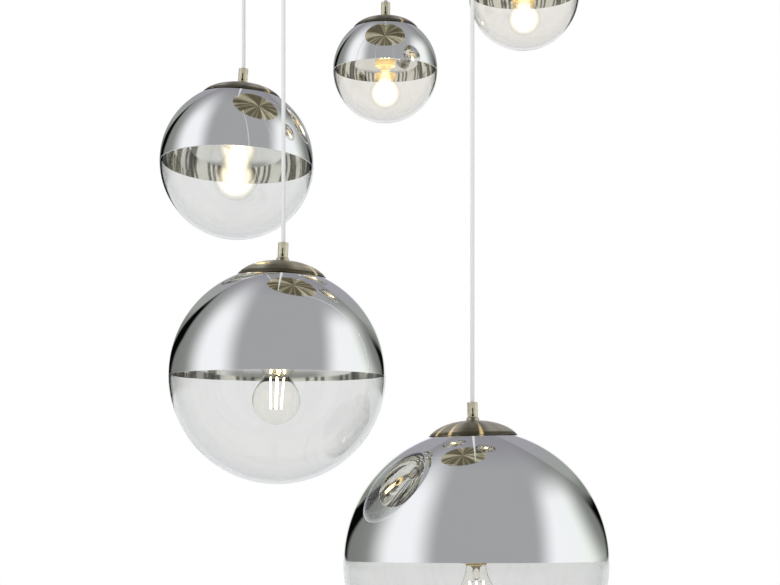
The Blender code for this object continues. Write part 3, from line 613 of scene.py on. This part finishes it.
def seat_height(pendant):
    """Where the rim of the cap rests on the glass."""
    return math.sqrt(pendant.radius ** 2 - (pendant.cap_radius - CAP_SHEET) ** 2)


def cap_top(pendant):
    return seat_height(pendant) + GAP + pendant.cap_rise + pendant.collar


def cut_away(piece, tool):
    """Cuts a piece with another, which is used up."""
    pick(piece)
    bpy.ops.object.modifier_add(type="BOOLEAN")
    cut = piece.modifiers[-1]
    cut.object, cut.operation, cut.solver = tool, "DIFFERENCE", "EXACT"
    bpy.ops.object.modifier_apply(modifier=cut.name)
    discard(tool)


def front_pin(radius, length, sides=PIN_SIDES, sunk=0.0):
    """A cylinder that points to the front, at the height of the grub screw."""
    deselect()
    bpy.ops.mesh.primitive_cylinder_add(
        vertices=sides, radius=radius, depth=length, rotation=(math.radians(90), 0, 0),
        location=(0, sunk - GRIP_RADIUS, SCREW_HEIGHT),
    )
    bpy.ops.object.transform_apply()
    return bpy.context.object


def stretch(piece, chosen, run):
    """Draws out the end of a piece whose corners are chosen."""
    mesh = piece.data
    for vertex in mesh.vertices:
        vertex.select = chosen(vertex.co)
    for part in (*mesh.edges, *mesh.polygons):
        part.select = all(mesh.vertices[n].select for n in part.vertices)
    bpy.ops.object.mode_set(mode="EDIT")
    bpy.ops.mesh.select_mode(type="VERT")
    bpy.ops.transform.translate(value=run)
    bpy.ops.object.mode_set(mode="OBJECT")


grip_nickel = Finish("grip_nickel", (0.90, 0.87, 0.76), 0.5, 1.0)
along = grip_nickel.split(grip_nickel.place)[2]
bands = grip_nickel.node("ShaderNodeCombineXYZ", None, {"Z": along * 2600})
turning = grip_nickel.noise(1.0, 2.0, bands.outputs[0])
cloud = grip_nickel.noise(260.0, 3.0)
share = (turning * 0.5 + cloud * 0.5).smooth(0.3, 0.7)
grip_nickel.clouds(share, (0.80, 0.74, 0.54), (0.98, 0.93, 0.74))
grip_nickel.roughen(0.42 + 0.16 * cloud)
grip_nickel.bump(turning, 0.00002)

# Dark steel for the grub screw; on the faces inside the slot and the screw hole it is painted shade
slot_shade_and_dark_steel = Finish("slot_shade_and_dark_steel", (0.10, 0.09, 0.06), 0.5, 1.0)
slot_shade_and_dark_steel.weather(900.0, (0.03, 0.025, 0.015), (0.16, 0.14, 0.09), 0.4, 0.3)

line_end = GRIP_LINE + 4 * LINE_DEPTH
grip_outline = [
    (CORD_BORE, -MOUTH_CHAMFER), (CORD_BORE + MOUTH_CHAMFER, 0),
    *corner(GRIP_RADIUS, 0, HEAD_ROUND, HEAD_SHARES),
    (GRIP_RADIUS, -GRIP_LINE), (GRIP_RADIUS - LINE_DEPTH, -GRIP_LINE - LINE_DEPTH),
    (GRIP_RADIUS - LINE_DEPTH, LINE_DEPTH - line_end), (GRIP_RADIUS, -line_end),
    (GRIP_RADIUS, FOOT_CHAMFER - GRIP_LENGTH), (GRIP_RADIUS - FOOT_INSET, -GRIP_LENGTH),
    (TUBE_HOLE, -GRIP_LENGTH), (TUBE_HOLE, TUBE_SEAT - GRIP_LENGTH),
    (CORD_BORE, TUBE_SEAT - GRIP_LENGTH), (CORD_BORE, -MOUTH_CHAMFER),
]
grip_model = turn_on_lathe("grip", grip_outline, GRIP_SIDES)
slot = front_pin(SLOT_RADIUS, SLOT_DEPTH)
stretch(slot, lambda place: place.z > SCREW_HEIGHT + BARELY, (0, 0, SLOT_RUN))
cut_away(grip_model, slot)
cut_away(grip_model, front_pin(SCREW_HOLE, SCREW_HOLE_DEPTH, SCREW_HOLE_SIDES))
grip_model.data.materials.append(grip_nickel.material)
grip_model.data.materials.append(slot_shade_and_dark_steel.material)
# Faces inside the slot and the screw hole go dark: painted shade
for face in grip_model.data.polygons:
    spot = face.center
    face.material_index = int(spot.y < CUT_FRONT and CUT_IN < math.hypot(spot.x, spot.y) < CUT_OUT
                              and CUT_LOW < spot.z < CUT_HIGH)
smooth_piece(grip_model, 30)

screw_model = front_pin(SCREW_RADIUS, SCREW_LENGTH, sunk=SCREW_SUNK)
for face in screw_model.data.polygons:
    face.select = face.normal.y < -0.9
bpy.ops.object.mode_set(mode="EDIT")
bpy.ops.mesh.select_mode(type="FACE")
bpy.ops.mesh.inset(thickness=SCREW_RIM)
bpy.ops.mesh.inset(thickness=SOCKET_RIM)
bpy.ops.mesh.extrude_region_move(TRANSFORM_OT_translate={"value": (0, SOCKET_DEPTH, 0)})
bpy.ops.object.mode_set(mode="OBJECT")
smooth_piece(screw_model, 30)

for pendant in PENDANTS:
    body = f"{pendant.key}_shade"
    mouth = hang_matrix(pendant, cap_top(pendant) + GAP + GRIP_LENGTH)
    grip, screw = copy_piece(grip_model), copy_piece(screw_model)
    set_in_place(grip, mouth)
    finish_piece(grip, f"{pendant.key}_slotted_grip", body, "matt_nickel", f"{pendant.key}_cord_grip")
    set_in_place(screw, mouth, slot_shade_and_dark_steel.material)
    finish_piece(screw, f"{pendant.key}_grub_screw", body, "matt_nickel")
discard(grip_model, screw_model)

# Caps
# Domes pressed from thin sheet, spun and plated matt nickel, each with a small raised collar
# under the cord grip. The rim is rolled in and rests on the glass.

CAP_SIDES, CAP_STEPS = 112, 26
COLLAR_RADIUS, COLLAR_FILLET = 0.0078, 0.0012
# The dome is the top of an ellipse, down to this angle from its axis
CAP_EDGE_ANGLE = 70
# How the rim rolls in, by the thickness of the sheet
CAP_RIM_SHARES = ((-0.04, 0.4), (-0.15, 0.1), (-0.5, 0), (-0.9, 0.1))
# The collar's rounded top, the fillet at its foot, and how far the dome has fallen there
COLLAR_ROUND, HOLE_CHAMFER, DOME_FALL = 0.0007, 0.0002, 0.00012
COLLAR_TOP_SHARES = ((-1, 0), (-2 / 7, -3 / 7), (0, -1))
COLLAR_FOOT_SHARES = ((1 / 7, 2 / 7), (8 / 7, -1 / 7))
# Where each cap's painted glints run, in degrees from its front
CAP_GLINTS = {
    "rear": (34,), "medium": (51,), "large": (56, 250), "largest": (-57, -33, 10), "right": (-35,),
}


def cap_line(radius, rise):
    """The dome's line from the collar out to the rim."""
    edge = math.radians(CAP_EDGE_ANGLE)
    line = []
    for n in range(CAP_STEPS + 1):
        turn = edge * n / CAP_STEPS
        share = (math.cos(turn) - math.cos(edge)) / (1 - math.cos(edge))
        line.append((radius * math.sin(turn) / math.sin(edge), rise * share))
    return [point for point in line if point[0] > COLLAR_RADIUS + COLLAR_FILLET]


for pendant in PENDANTS:
    radius, rise, top_height = pendant.cap_radius, pendant.cap_rise, pendant.cap_rise + pendant.collar
    cap_outline = [
        (TUBE_HOLE, top_height - HOLE_CHAMFER), (TUBE_HOLE + HOLE_CHAMFER, top_height),
        *corner(COLLAR_RADIUS, top_height, COLLAR_ROUND, COLLAR_TOP_SHARES),
        *corner(COLLAR_RADIUS, rise - DOME_FALL, COLLAR_ROUND, COLLAR_FOOT_SHARES),
        *cap_line(radius, rise)[:-1],
        *corner(radius, 0, CAP_SHEET, CAP_RIM_SHARES),
        *reversed(cap_line(radius - CAP_SHEET, rise - CAP_SHEET)[:-1]),
        (COLLAR_RADIUS, rise - CAP_SHEET), (TUBE_HOLE, rise - CAP_SHEET),
        (TUBE_HOLE, top_height - HOLE_CHAMFER),
    ]
    cap = turn_on_lathe("cap", cap_outline, CAP_SIDES)
    smooth_piece(cap, 40)
    cap_nickel = brushed_nickel(
        f"cap_nickel_{pendant.key}", (0.10, 0.088, 0.055), (0.80, 0.74, 0.60), 0.28, 0.0007, 2.6,
        metallic=0.86, rim=radius, glints=CAP_GLINTS[pendant.key],
    )
    set_in_place(cap, hang_matrix(pendant, seat_height(pendant) + GAP), cap_nickel)
    finish_piece(cap, f"{pendant.key}_spun_cap", f"{pendant.key}_shade", "matt_nickel",
                 f"{pendant.key}_cap")

# Threaded tubes and globe clips
# Zinc-plated steel tube with a fine thread runs from the grip down to the lampholder and clamps
# the cap. The clip's hub screws onto it, and three spring leaves hold the mouth of the glass.

TUBE_RADIUS, TUBE_BORE, TUBE_SIDES = 0.005, 0.0035, 24
THREAD_PITCH, THREAD_DEPTH = 0.001, 0.0004
# How deep the lampholder's head takes the tube
HEAD_SOCKET = 0.009
# Each kind of lamp: radius and length of its base, how much of that shows under the lampholder,
# the round bulb's radius and length, the filament rods' length and spread, and the lampholder
LAMPS = {
    "pear": dict(base=0.01325, base_length=0.0265, showing=0.003, radius=0.030, glass=0.0785,
                 filament=0.038, cage=0.0085, holder=0.019, holder_length=0.050),
    "ball": dict(base=0.0069, base_length=0.023, showing=0.006, radius=0.0225, glass=0.055,
                 filament=0.026, cage=0.006, holder=0.0145, holder_length=0.040),
}


def holder_mouth(pendant):
    """Where the lampholder ends and the bulb starts."""
    lamp = LAMPS[pendant.lamp]
    return lamp["glass"] - pendant.bulb_depth + lamp["showing"]


tube_steel = Finish("tube_steel", (0.62, 0.62, 0.60), 0.3, 1.0)
tube_steel.weather(180.0, (0.46, 0.45, 0.40), (0.74, 0.73, 0.68), 0.2, 0.2)

for pendant in PENDANTS:
    valley = TUBE_RADIUS - THREAD_DEPTH
    tube_top = cap_top(pendant) + TUBE_SEAT
    tube_end = holder_mouth(pendant) + LAMPS[pendant.lamp]["holder_length"] - HEAD_SOCKET + GAP
    thread = []
    for n in range(int((tube_top - tube_end) / THREAD_PITCH - 1)):
        crest = tube_top - THREAD_PITCH * (n + 0.5)
        thread += [(TUBE_RADIUS, crest), (TUBE_RADIUS, crest - 0.2 * THREAD_PITCH),
                   (valley, crest - 0.6 * THREAD_PITCH)]
    tube_outline = [(TUBE_BORE, tube_top), (valley, tube_top), *thread, (valley, tube_end),
                    (TUBE_BORE, tube_end), (TUBE_BORE, tube_top)]
    tube = turn_on_lathe("tube", tube_outline, TUBE_SIDES)
    smooth_piece(tube, 30)
    set_in_place(tube, hang_matrix(pendant), tube_steel.material)
    finish_piece(tube, f"{pendant.key}_screw_tube", f"{pendant.key}_shade", "zinc_steel",
                 f"{pendant.key}_threaded_tube")
    refinish(f"{pendant.key}_globe_clip", zinc_plate)

# Globes
# Blown glass, 2.5 mm thick, with an opening under the cap. Metal is vapour-coated from the
# opening down to the middle, bright outside and warmer inside. The rest stays clear.

GLASS_WALL, GLASS_SIDES, GLASS_STEP = 0.0025, 144, 2.5
GLASS_UNDER_CAP = 0.013
# How high the lip of the opening is rounded, and half the gap between the coated and clear glass
GLASS_LIP, GLASS_CUT = 0.0008, 0.00005
# Each coat's edge: height over the middle of the globe, and how it nods and leans in degrees
COAT_EDGES = {
    "rear": (-0.001, -0.7, 0.0),
    "medium": (-0.004, -4.8, 1.8),
    "large": (0.0, 0.3, 0.2),
    "largest": (0.001, -1.2, 0.0),
    "right": (-0.001, -0.7, 0.0),
}
# Painted light: each tint makes a bowl lighter or darker for the glare of its bulbs, not for the glass
GLARE_GLASS_TINTS = {"cool": (0.88, 0.885, 0.88), "warm": (0.912, 0.898, 0.873), "deep": (0.84, 0.845, 0.84)}


def glass_line(radius, start, end):
    """Points on a sphere from one height to another, by way of its angle."""
    low, high = math.asin(start / radius), math.asin(end / radius)
    steps = max(4, math.ceil(math.degrees(abs(high - low)) / GLASS_STEP))
    turns = [low + (high - low) * n / steps for n in range(steps + 1)]
    return [(max(0.0, radius * math.cos(a)), radius * math.sin(a)) for a in turns]


def keep_side(piece, point, normal, above):
    """Cuts the shell with a plane, keeps one side and closes the cut between its two walls."""
    pick(piece)
    bpy.ops.object.mode_set(mode="EDIT")
    bpy.ops.mesh.select_all(action="SELECT")
    bpy.ops.mesh.bisect(
        plane_co=point, plane_no=normal, clear_inner=above, clear_outer=not above, threshold=LATHE_MERGE
    )
    bpy.ops.mesh.bridge_edge_loops()
    bpy.ops.mesh.select_all(action="SELECT")
    bpy.ops.mesh.normals_make_consistent(inside=False)
    bpy.ops.object.mode_set(mode="OBJECT")


mirror_coat = Finish("mirror_coat", (0.985, 0.985, 0.985), 0.025, 1.0)
cloud = mirror_coat.noise(16.0, 4.0)
dust = mirror_coat.noise(700.0)
mirror_coat.clouds(cloud, (0.96, 0.962, 0.966), (0.995, 0.995, 0.995))
mirror_coat.roughen(0.012 + 0.03 * cloud.smooth(0.35, 0.8) + 0.02 * dust.smooth(0.7, 0.9))
mirror_coat.bump(mirror_coat.noise(9.0, 1.0), 0.00012)

inner_coat = Finish("inner_coat", (0.93, 0.92, 0.87), 0.03, 1.0)
cloud = inner_coat.noise(22.0, 4.0)
x, y, _ = inner_coat.split(inner_coat.place)
side = abs(x / ((x * x + y * y) ** 0.5 + NEAR_AXIS)) + 0.02 * (cloud - 0.5)
# Painted reflection: dark upright streaks towards the two sides, as repeated reflections leave them
streaks = (side.smooth(0.65, 0.68) * (1 - side.smooth(0.735, 0.76))).max(
    side.smooth(0.83, 0.85) * (1 - side.smooth(0.885, 0.90))
).max(side.smooth(0.925, 0.935) * (1 - side.smooth(0.96, 0.975)))
bright = inner_coat.colour(cloud, (0.84, 0.82, 0.74), (0.97, 0.96, 0.92))
inner_coat.clouds(0.86 * streaks, bright, (0.10, 0.09, 0.05))
inner_coat.roughen(0.03 + 0.05 * cloud)
inner_coat.bump(inner_coat.noise(14.0, 1.0), 0.0002)

clear_finishes = {}
for tone, tint in GLARE_GLASS_TINTS.items():
    clear = Finish(f"clear_glass_{tone}", tint, 0.0, **{"Transmission Weight": 1.0, "IOR": 1.42})
    cloud = clear.noise(12.0, 3.0)
    clear.clouds(cloud, tuple(part - 0.014 for part in tint), tuple(part + 0.01 for part in tint))
    clear.roughen(0.002 + 0.01 * cloud.smooth(0.5, 0.9))
    clear.bump(clear.noise(18.0, 1.0), 0.0001)
    clear_finishes[tone] = clear.material

for pendant in PENDANTS:
    radius, inside = pendant.radius, pendant.radius - GLASS_WALL
    ring = pendant.cap_radius - GLASS_UNDER_CAP
    lip_out, lip_in = math.sqrt(radius ** 2 - ring ** 2), math.sqrt(inside ** 2 - ring ** 2)
    glass_outline = [
        *glass_line(radius, -radius, lip_out - GLASS_LIP),
        (ring + EDGE_ROUND, lip_out - EDGE_ROUND), (ring, (lip_out + lip_in) / 2),
        *glass_line(inside, lip_in - GLASS_LIP / 2, -inside),
    ]
    height, nod, lean = COAT_EDGES[pendant.key]
    square = Euler((math.radians(nod), math.radians(lean), 0)).to_matrix() @ Vector((0, 0, 1))
    hang = hang_matrix(pendant)
    for above, name in ((True, "mirrored_glass"), (False, "clear_glass")):
        glass = turn_on_lathe("glass", glass_outline, GLASS_SIDES)
        set_in_place(glass, hang)
        point = hang.translation + (height + (GLASS_CUT if above else -GLASS_CUT)) * square
        keep_side(glass, point, square, above)
        smooth_piece(glass, 60)
        if above:
            glass.data.materials.append(mirror_coat.material)
            glass.data.materials.append(inner_coat.material)
            for face in glass.data.polygons:
                reach = (face.center - hang.translation).length
                face.material_index = int(reach < radius - 0.6 * GLASS_WALL)
        else:
            glass.data.materials.append(clear_finishes[pendant.glass])
        finish_piece(glass, f"{pendant.key}_{name}", f"{pendant.key}_glass", "mirrored_glass",
                     f"{pendant.key}_globe")

# Lampholders
# Heat-proof ivory plastic with a ribbed skirt, screwed onto the end of the threaded tube. The
# light of the bulb on the rim is painted in: the plastic glows warm there.

HOLDER_SIDES = 56
# Free play round the bulb's base, and how far the head stands in from the skirt
BASE_PLAY, HEAD_INSET = 0.0009, 0.0012
SKIRT_GROOVES, SKIRT_FOOT, SKIRT_PITCH = 5, 0.003, 0.0032
SKIRT_GROOVE, SKIRT_SHARES = 0.0014, ((0, 0), (-3 / 7, 2 / 7), (-3 / 7, 5 / 7), (0, 1))
# The roundings of the mouth, the skirt's edge, the shoulder, the top and the tube's socket
MOUTH_ROUND, MOUTH_SHARES = 0.0006, ((0, 1), (5 / 6, 0))
SKIRT_ROUND, SKIRT_EDGE_SHARES = 0.0007, ((-1, 0), (0, 1))
SHOULDER, SHOULDER_SHARES = 0.001, ((0, -2), (-1.2, 1))
HEAD_TOP_SHARES, SOCKET_CHAMFER, SOCKET_SHARES = ((0.75, -1), (0, 0)), 0.0004, ((0.75, 0), (0, -1))
# How far up the painted glow of the bulb's light reaches
PAINTED_GLOW_REACH = 0.016

holder_plastics = {}
# A dim and a bright copy: the painted glow is stronger by the brightly lit bulbs
for lit, strength in (("clear", 0.12), ("glare", 0.8)):
    plastic = Finish(f"holder_plastic_{lit}", (0.80, 0.76, 0.66), 0.45)
    plastic.weather(120.0, (0.74, 0.69, 0.57), (0.84, 0.80, 0.70), 0.36, 0.2)
    painted_bulb_glow = 1 - plastic.split(plastic.place)[2].smooth(0.0, PAINTED_GLOW_REACH)
    plastic.glow(painted_bulb_glow, (0, 0, 0), (1.0, 0.66, 0.16), strength)
    plastic.bump(plastic.noise(900.0), 0.00004)
    holder_plastics[lit] = plastic.material

holder_models = {}
for kind, lamp in LAMPS.items():
    skirt, length, mouth = lamp["holder"], lamp["holder_length"], lamp["base"] + BASE_PLAY
    depth = lamp["base_length"] - lamp["showing"] + 2 * GAP
    waist = skirt - HEAD_INSET
    grooves = []
    for n in range(SKIRT_GROOVES):
        grooves += corner(skirt, SKIRT_FOOT + SKIRT_PITCH * n, SKIRT_GROOVE, SKIRT_SHARES)
    holder_outline = [
        (0, depth), (mouth, depth), *corner(mouth, 0, MOUTH_ROUND, MOUTH_SHARES),
        *corner(skirt, 0, SKIRT_ROUND, SKIRT_EDGE_SHARES), *grooves,
        (skirt, depth - HEAD_INSET), (waist, depth),
        *corner(waist, length - skirt / 2, SHOULDER, SHOULDER_SHARES),
        *corner(TUBE_HOLE + waist / 3, length, HEAD_INSET, HEAD_TOP_SHARES),
        *corner(TUBE_HOLE, length, SOCKET_CHAMFER, SOCKET_SHARES),
        (TUBE_HOLE, length - HEAD_SOCKET), (0, length - HEAD_SOCKET),
    ]
    holder_models[kind] = turn_on_lathe("holder", holder_outline, HOLDER_SIDES)
    smooth_piece(holder_models[kind], 35)

for pendant in PENDANTS:
    holder = copy_piece(holder_models[pendant.lamp])
    plastic = holder_plastics["clear" if pendant.key == "largest" else "glare"]
    set_in_place(holder, hang_matrix(pendant, holder_mouth(pendant)), plastic)
    finish_piece(holder, f"{pendant.key}_ribbed_lampholder", f"{pendant.key}_shade", "ivory_plastic",
                 f"{pendant.key}_lampholder")
discard(*holder_models.values())

# Bulbs
# Screw lamps with four lit filament rods round a glass stem: pear bulbs in the three large
# globes, small balls in the two others. The base is rolled brass with a thread.

BULB_WALL, BULB_SIDES, BULB_STEP = 0.0009, 72, 5
# Where the round of the bulb turns into its neck, in degrees from the lowest point
BULB_SHOULDER, NECK_STEPS = 125, 10
BASE_SHEET, BASE_SIDES = 0.0008, 56
BASE_THREADS, THREAD_START, THREAD_FREE = 5, 0.0025, 0.0035
CREST_ROUND, CREASE_DEPTH, BASE_RIM, SHELL_END = 0.0001, 0.0007, 0.0018, 0.0006
BASE_EDGE_SHARES = ((-2, 0), (0, 3))
# How much of the base is the threaded shell, and how wide its tip is
SHELL_SHARE, TIP_SHARE = 0.62, 0.36
# The insulator between shell and tip, by radius and length, and the tip's rounding
CONE_SHARE, CONE_RISE, TIP_FLARE_SHARE = 0.7, 0.003, 1.25
CONE_END_SHARE, TIP_START_SHARE, TIP_ROUND, TIP_SHARES = 0.86, 0.87, 0.0005, ((0, -1), (-1.2, 0))
# The stem: the wire's radius and its rounded end, the glass over it and the flare at the seam
STEM_SIDES, STEM_WIRE, STEM_END, FLARE = 24, 0.0011, 0.001, 0.004
STEM_END_SHARES, STEM_START_SHARES = ((-1.1, -1), (-0.2, -0.6), (0, 0)), ((0, 1), (0.5, 2.4))
STEM_HEAD_SHARES = ((0.8, 0.9), (1, 1.6))
FLARE_SHARES = ((1, -1), (1.5, -0.2), (1.5, 0.25), (1, 0.5))
ROD_COUNT, ROD_RADIUS, ROD_SIDES, ROD_RINGS = 4, 0.0011, 14, 8
WIRE_RADIUS, WIRE_SIDES, WIRE_INSET = 0.00035, 8, 0.0008
# How far the rods lean in at their lower ends
CAGE_SHARE = 0.75


def bulb_line(lamp, wall):
    """From the lowest point round the bulb and in to the neck."""
    radius = lamp["radius"] - wall
    neck = lamp["base"] - BASE_SHEET / 2 - wall
    middle = lamp["radius"] - lamp["glass"]
    steps = math.ceil(BULB_SHOULDER / BULB_STEP)
    line = []
    for n in range(steps + 1):
        turn = math.radians(BULB_SHOULDER * n / steps)
        line.append((radius * math.sin(turn), middle - radius * math.cos(turn)))
    out, height = line[-1]
    slope = math.radians(BULB_SHOULDER)
    bend_height = height + (out - neck) * math.sin(slope) / -math.cos(slope)
    for n in range(1, NECK_STEPS + 1):
        t = n / NECK_STEPS
        line.append(((1 - t) ** 2 * out + (1 - (1 - t) ** 2) * neck,
                     (1 - t) ** 2 * height + 2 * t * (1 - t) * bend_height - t ** 2 * GAP))
    return line


def join_pieces(pieces):
    pick(*pieces)
    bpy.ops.object.join()
    joined = bpy.context.object
    smooth_piece(joined, 50)
    return joined


# The bases of the brightly lit bulbs glow: painted light of the filament on the brass
base_finishes = {}
for lit, strength in (("clear", 0.0), ("glare", 0.5)):
    brass = Finish(f"base_brass_{lit}", (0.78, 0.64, 0.36), 0.28, 1.0)
    brass.weather(200.0, (0.62, 0.47, 0.22), (0.86, 0.74, 0.46), 0.18, 0.2)
    brass.feed(brass.shader, "Emission Color", (1.0, 0.80, 0.45, 1))
    brass.feed(brass.shader, "Emission Strength", strength)
    base_finishes[lit] = brass.material

# The glare of the bright bulbs hides their outlines: their glass hardly bends light, and glows
bulb_finishes = {}
for lit, roughness, bending, strength in (("clear", 0.0, 1.06, 0.004), ("glare", 0.08, 1.004, 0.30)):
    glass = Finish(f"bulb_glass_{lit}", (0.99, 0.985, 0.96), roughness,
                   **{"Transmission Weight": 1.0, "IOR": bending})
    cloud = glass.noise(90.0)
    glass.clouds(cloud, (0.97, 0.96, 0.93), (1.0, 0.995, 0.98))
    glass.roughen(roughness + 0.02 * cloud)
    facing = glass.node("ShaderNodeLayerWeight", None, {"Blend": 0.5})
    haze = (1 - Value(glass, facing.outputs["Facing"]).smooth(0.0, 0.85)) ** 2.2
    glass.glow(haze, (0, 0, 0), (1.0, 0.90, 0.70), strength)
    bulb_finishes[lit] = glass.material

rod_finishes = {}
for lit, strength in (("clear", 9.0), ("glare", 22.0)):
    rod_finish = Finish(f"lit_rod_{lit}", (1.0, 0.86, 0.55), 0.5)
    beads = rod_finish.node(
        "ShaderNodeTexWave", {"bands_direction": "Z"}, {"Vector": rod_finish.place, "Scale": 260.0}
    )
    beads = Value(rod_finish, beads.outputs["Fac"])
    rod_finish.glow(beads, (1.0, 0.74, 0.36), (1.0, 0.86, 0.56), strength)
    rod_finishes[lit] = rod_finish.material

stem_glass = Finish("stem_glass", (0.96, 0.96, 0.94), 0.02, **{"Transmission Weight": 1.0, "IOR": 1.12})
stem_glass.clouds(stem_glass.noise(300.0), (0.93, 0.92, 0.88), (0.99, 0.99, 0.97))

lamp_models = {}
for kind, lamp in LAMPS.items():
    bulb_outline = [*bulb_line(lamp, 0), *reversed(bulb_line(lamp, BULB_WALL))]
    bulb = turn_on_lathe("bulb", bulb_outline, BULB_SIDES)
    smooth_piece(bulb, 50)

    base, length = lamp["base"], lamp["base_length"]
    shell, tip, valley = length * SHELL_SHARE, base * TIP_SHARE, base - CREASE_DEPTH
    threads = []
    pitch = (shell - THREAD_FREE) / BASE_THREADS
    for n in range(BASE_THREADS):
        crease = THREAD_START + n * pitch
        threads += [(valley, crease), (base - CREST_ROUND, crease + pitch * 0.3),
                    (base, crease + pitch * 0.5), (base - CREST_ROUND, crease + pitch * 0.7)]
    base_outline = [
        (0, shell - SHELL_END), (base - BASE_SHEET, shell - SHELL_END), (base - BASE_SHEET, 0),
        *corner(base, 0, CREST_ROUND, BASE_EDGE_SHARES), (base, BASE_RIM), *threads, (valley, shell),
        (base * CONE_SHARE, shell + CONE_RISE), (tip * TIP_FLARE_SHARE, length * CONE_END_SHARE),
        (tip, length * TIP_START_SHARE), *corner(tip, length, TIP_ROUND, TIP_SHARES), (0, length),
    ]
    screw_base = turn_on_lathe("base", base_outline, BASE_SIDES)
    smooth_piece(screw_base, 40)

    cage_top = lamp["radius"] * 2 / 3 + lamp["filament"] - lamp["glass"]
    cage_end = cage_top - lamp["filament"]
    stem_radius = base / 3
    stem_outline = [
        *corner(STEM_WIRE, cage_end, STEM_END, STEM_END_SHARES),
        *corner(STEM_WIRE, cage_top, STEM_END, STEM_START_SHARES),
        *corner(0, cage_top, stem_radius, STEM_HEAD_SHARES),
        *((stem_radius * out, FLARE * rise) for out, rise in FLARE_SHARES),
        (stem_radius, shell - 2 * SHELL_END), (0, shell - 2 * SHELL_END),
    ]
    stem = turn_on_lathe("stem", stem_outline, STEM_SIDES)
    smooth_piece(stem, 50)

    spread, drawn_in = lamp["cage"], lamp["cage"] * CAGE_SHARE
    rods, wires = [], []
    for n in range(ROD_COUNT):
        turn = math.radians(360 * n / ROD_COUNT)
        way = Vector((math.cos(turn), math.sin(turn), 0))
        head, foot = way * spread + Vector((0, 0, cage_top)), way * drawn_in + Vector((0, 0, cage_end))
        run = foot - head
        deselect()
        bpy.ops.mesh.primitive_uv_sphere_add(
            segments=ROD_SIDES, ring_count=ROD_RINGS, radius=ROD_RADIUS,
            rotation=run.to_track_quat("Z", "Y").to_euler(), location=head,
        )
        bpy.ops.object.transform_apply()
        rods.append(bpy.context.object)
        stretch(rods[-1], lambda place: (place - head).dot(run) > BARELY * run.length, run)
        for height, reach in ((cage_top, spread), (cage_end, drawn_in)):
            deselect()
            bpy.ops.mesh.primitive_cylinder_add(
                vertices=WIRE_SIDES, radius=WIRE_RADIUS, depth=reach - WIRE_INSET,
                rotation=way.to_track_quat("Z", "Y").to_euler(),
                location=way * (reach + WIRE_INSET) / 2 + Vector((0, 0, height)),
            )
            bpy.ops.object.transform_apply()
            wires.append(bpy.context.object)
    lamp_models[kind] = (bulb, screw_base, stem, join_pieces(rods), join_pieces(wires))

for pendant in PENDANTS:
    seam = hang_matrix(pendant, holder_mouth(pendant) - LAMPS[pendant.lamp]["showing"])
    for model, name, finish, slot, node in zip(
        lamp_models[pendant.lamp],
        ("blown_bulb", "rolled_base", "glass_stem", "filament_rods", "lead_wires"),
        (bulb_finishes[pendant.lit], base_finishes[pendant.lit], stem_glass.material,
         rod_finishes[pendant.lit], tube_steel.material),
        ("clear_glass", "brass", "lit_filament", "lit_filament", "lit_filament"),
        ("bulb_glass", "bulb_base", "bulb_filament", "bulb_filament", "bulb_filament"),
    ):
        piece = copy_piece(model)
        set_in_place(piece, seam, finish)
        finish_piece(piece, f"{pendant.key}_{name}", f"{pendant.key}_lamp", slot, f"{pendant.key}_{node}")
discard(*lamp_models["pear"], *lamp_models["ball"])
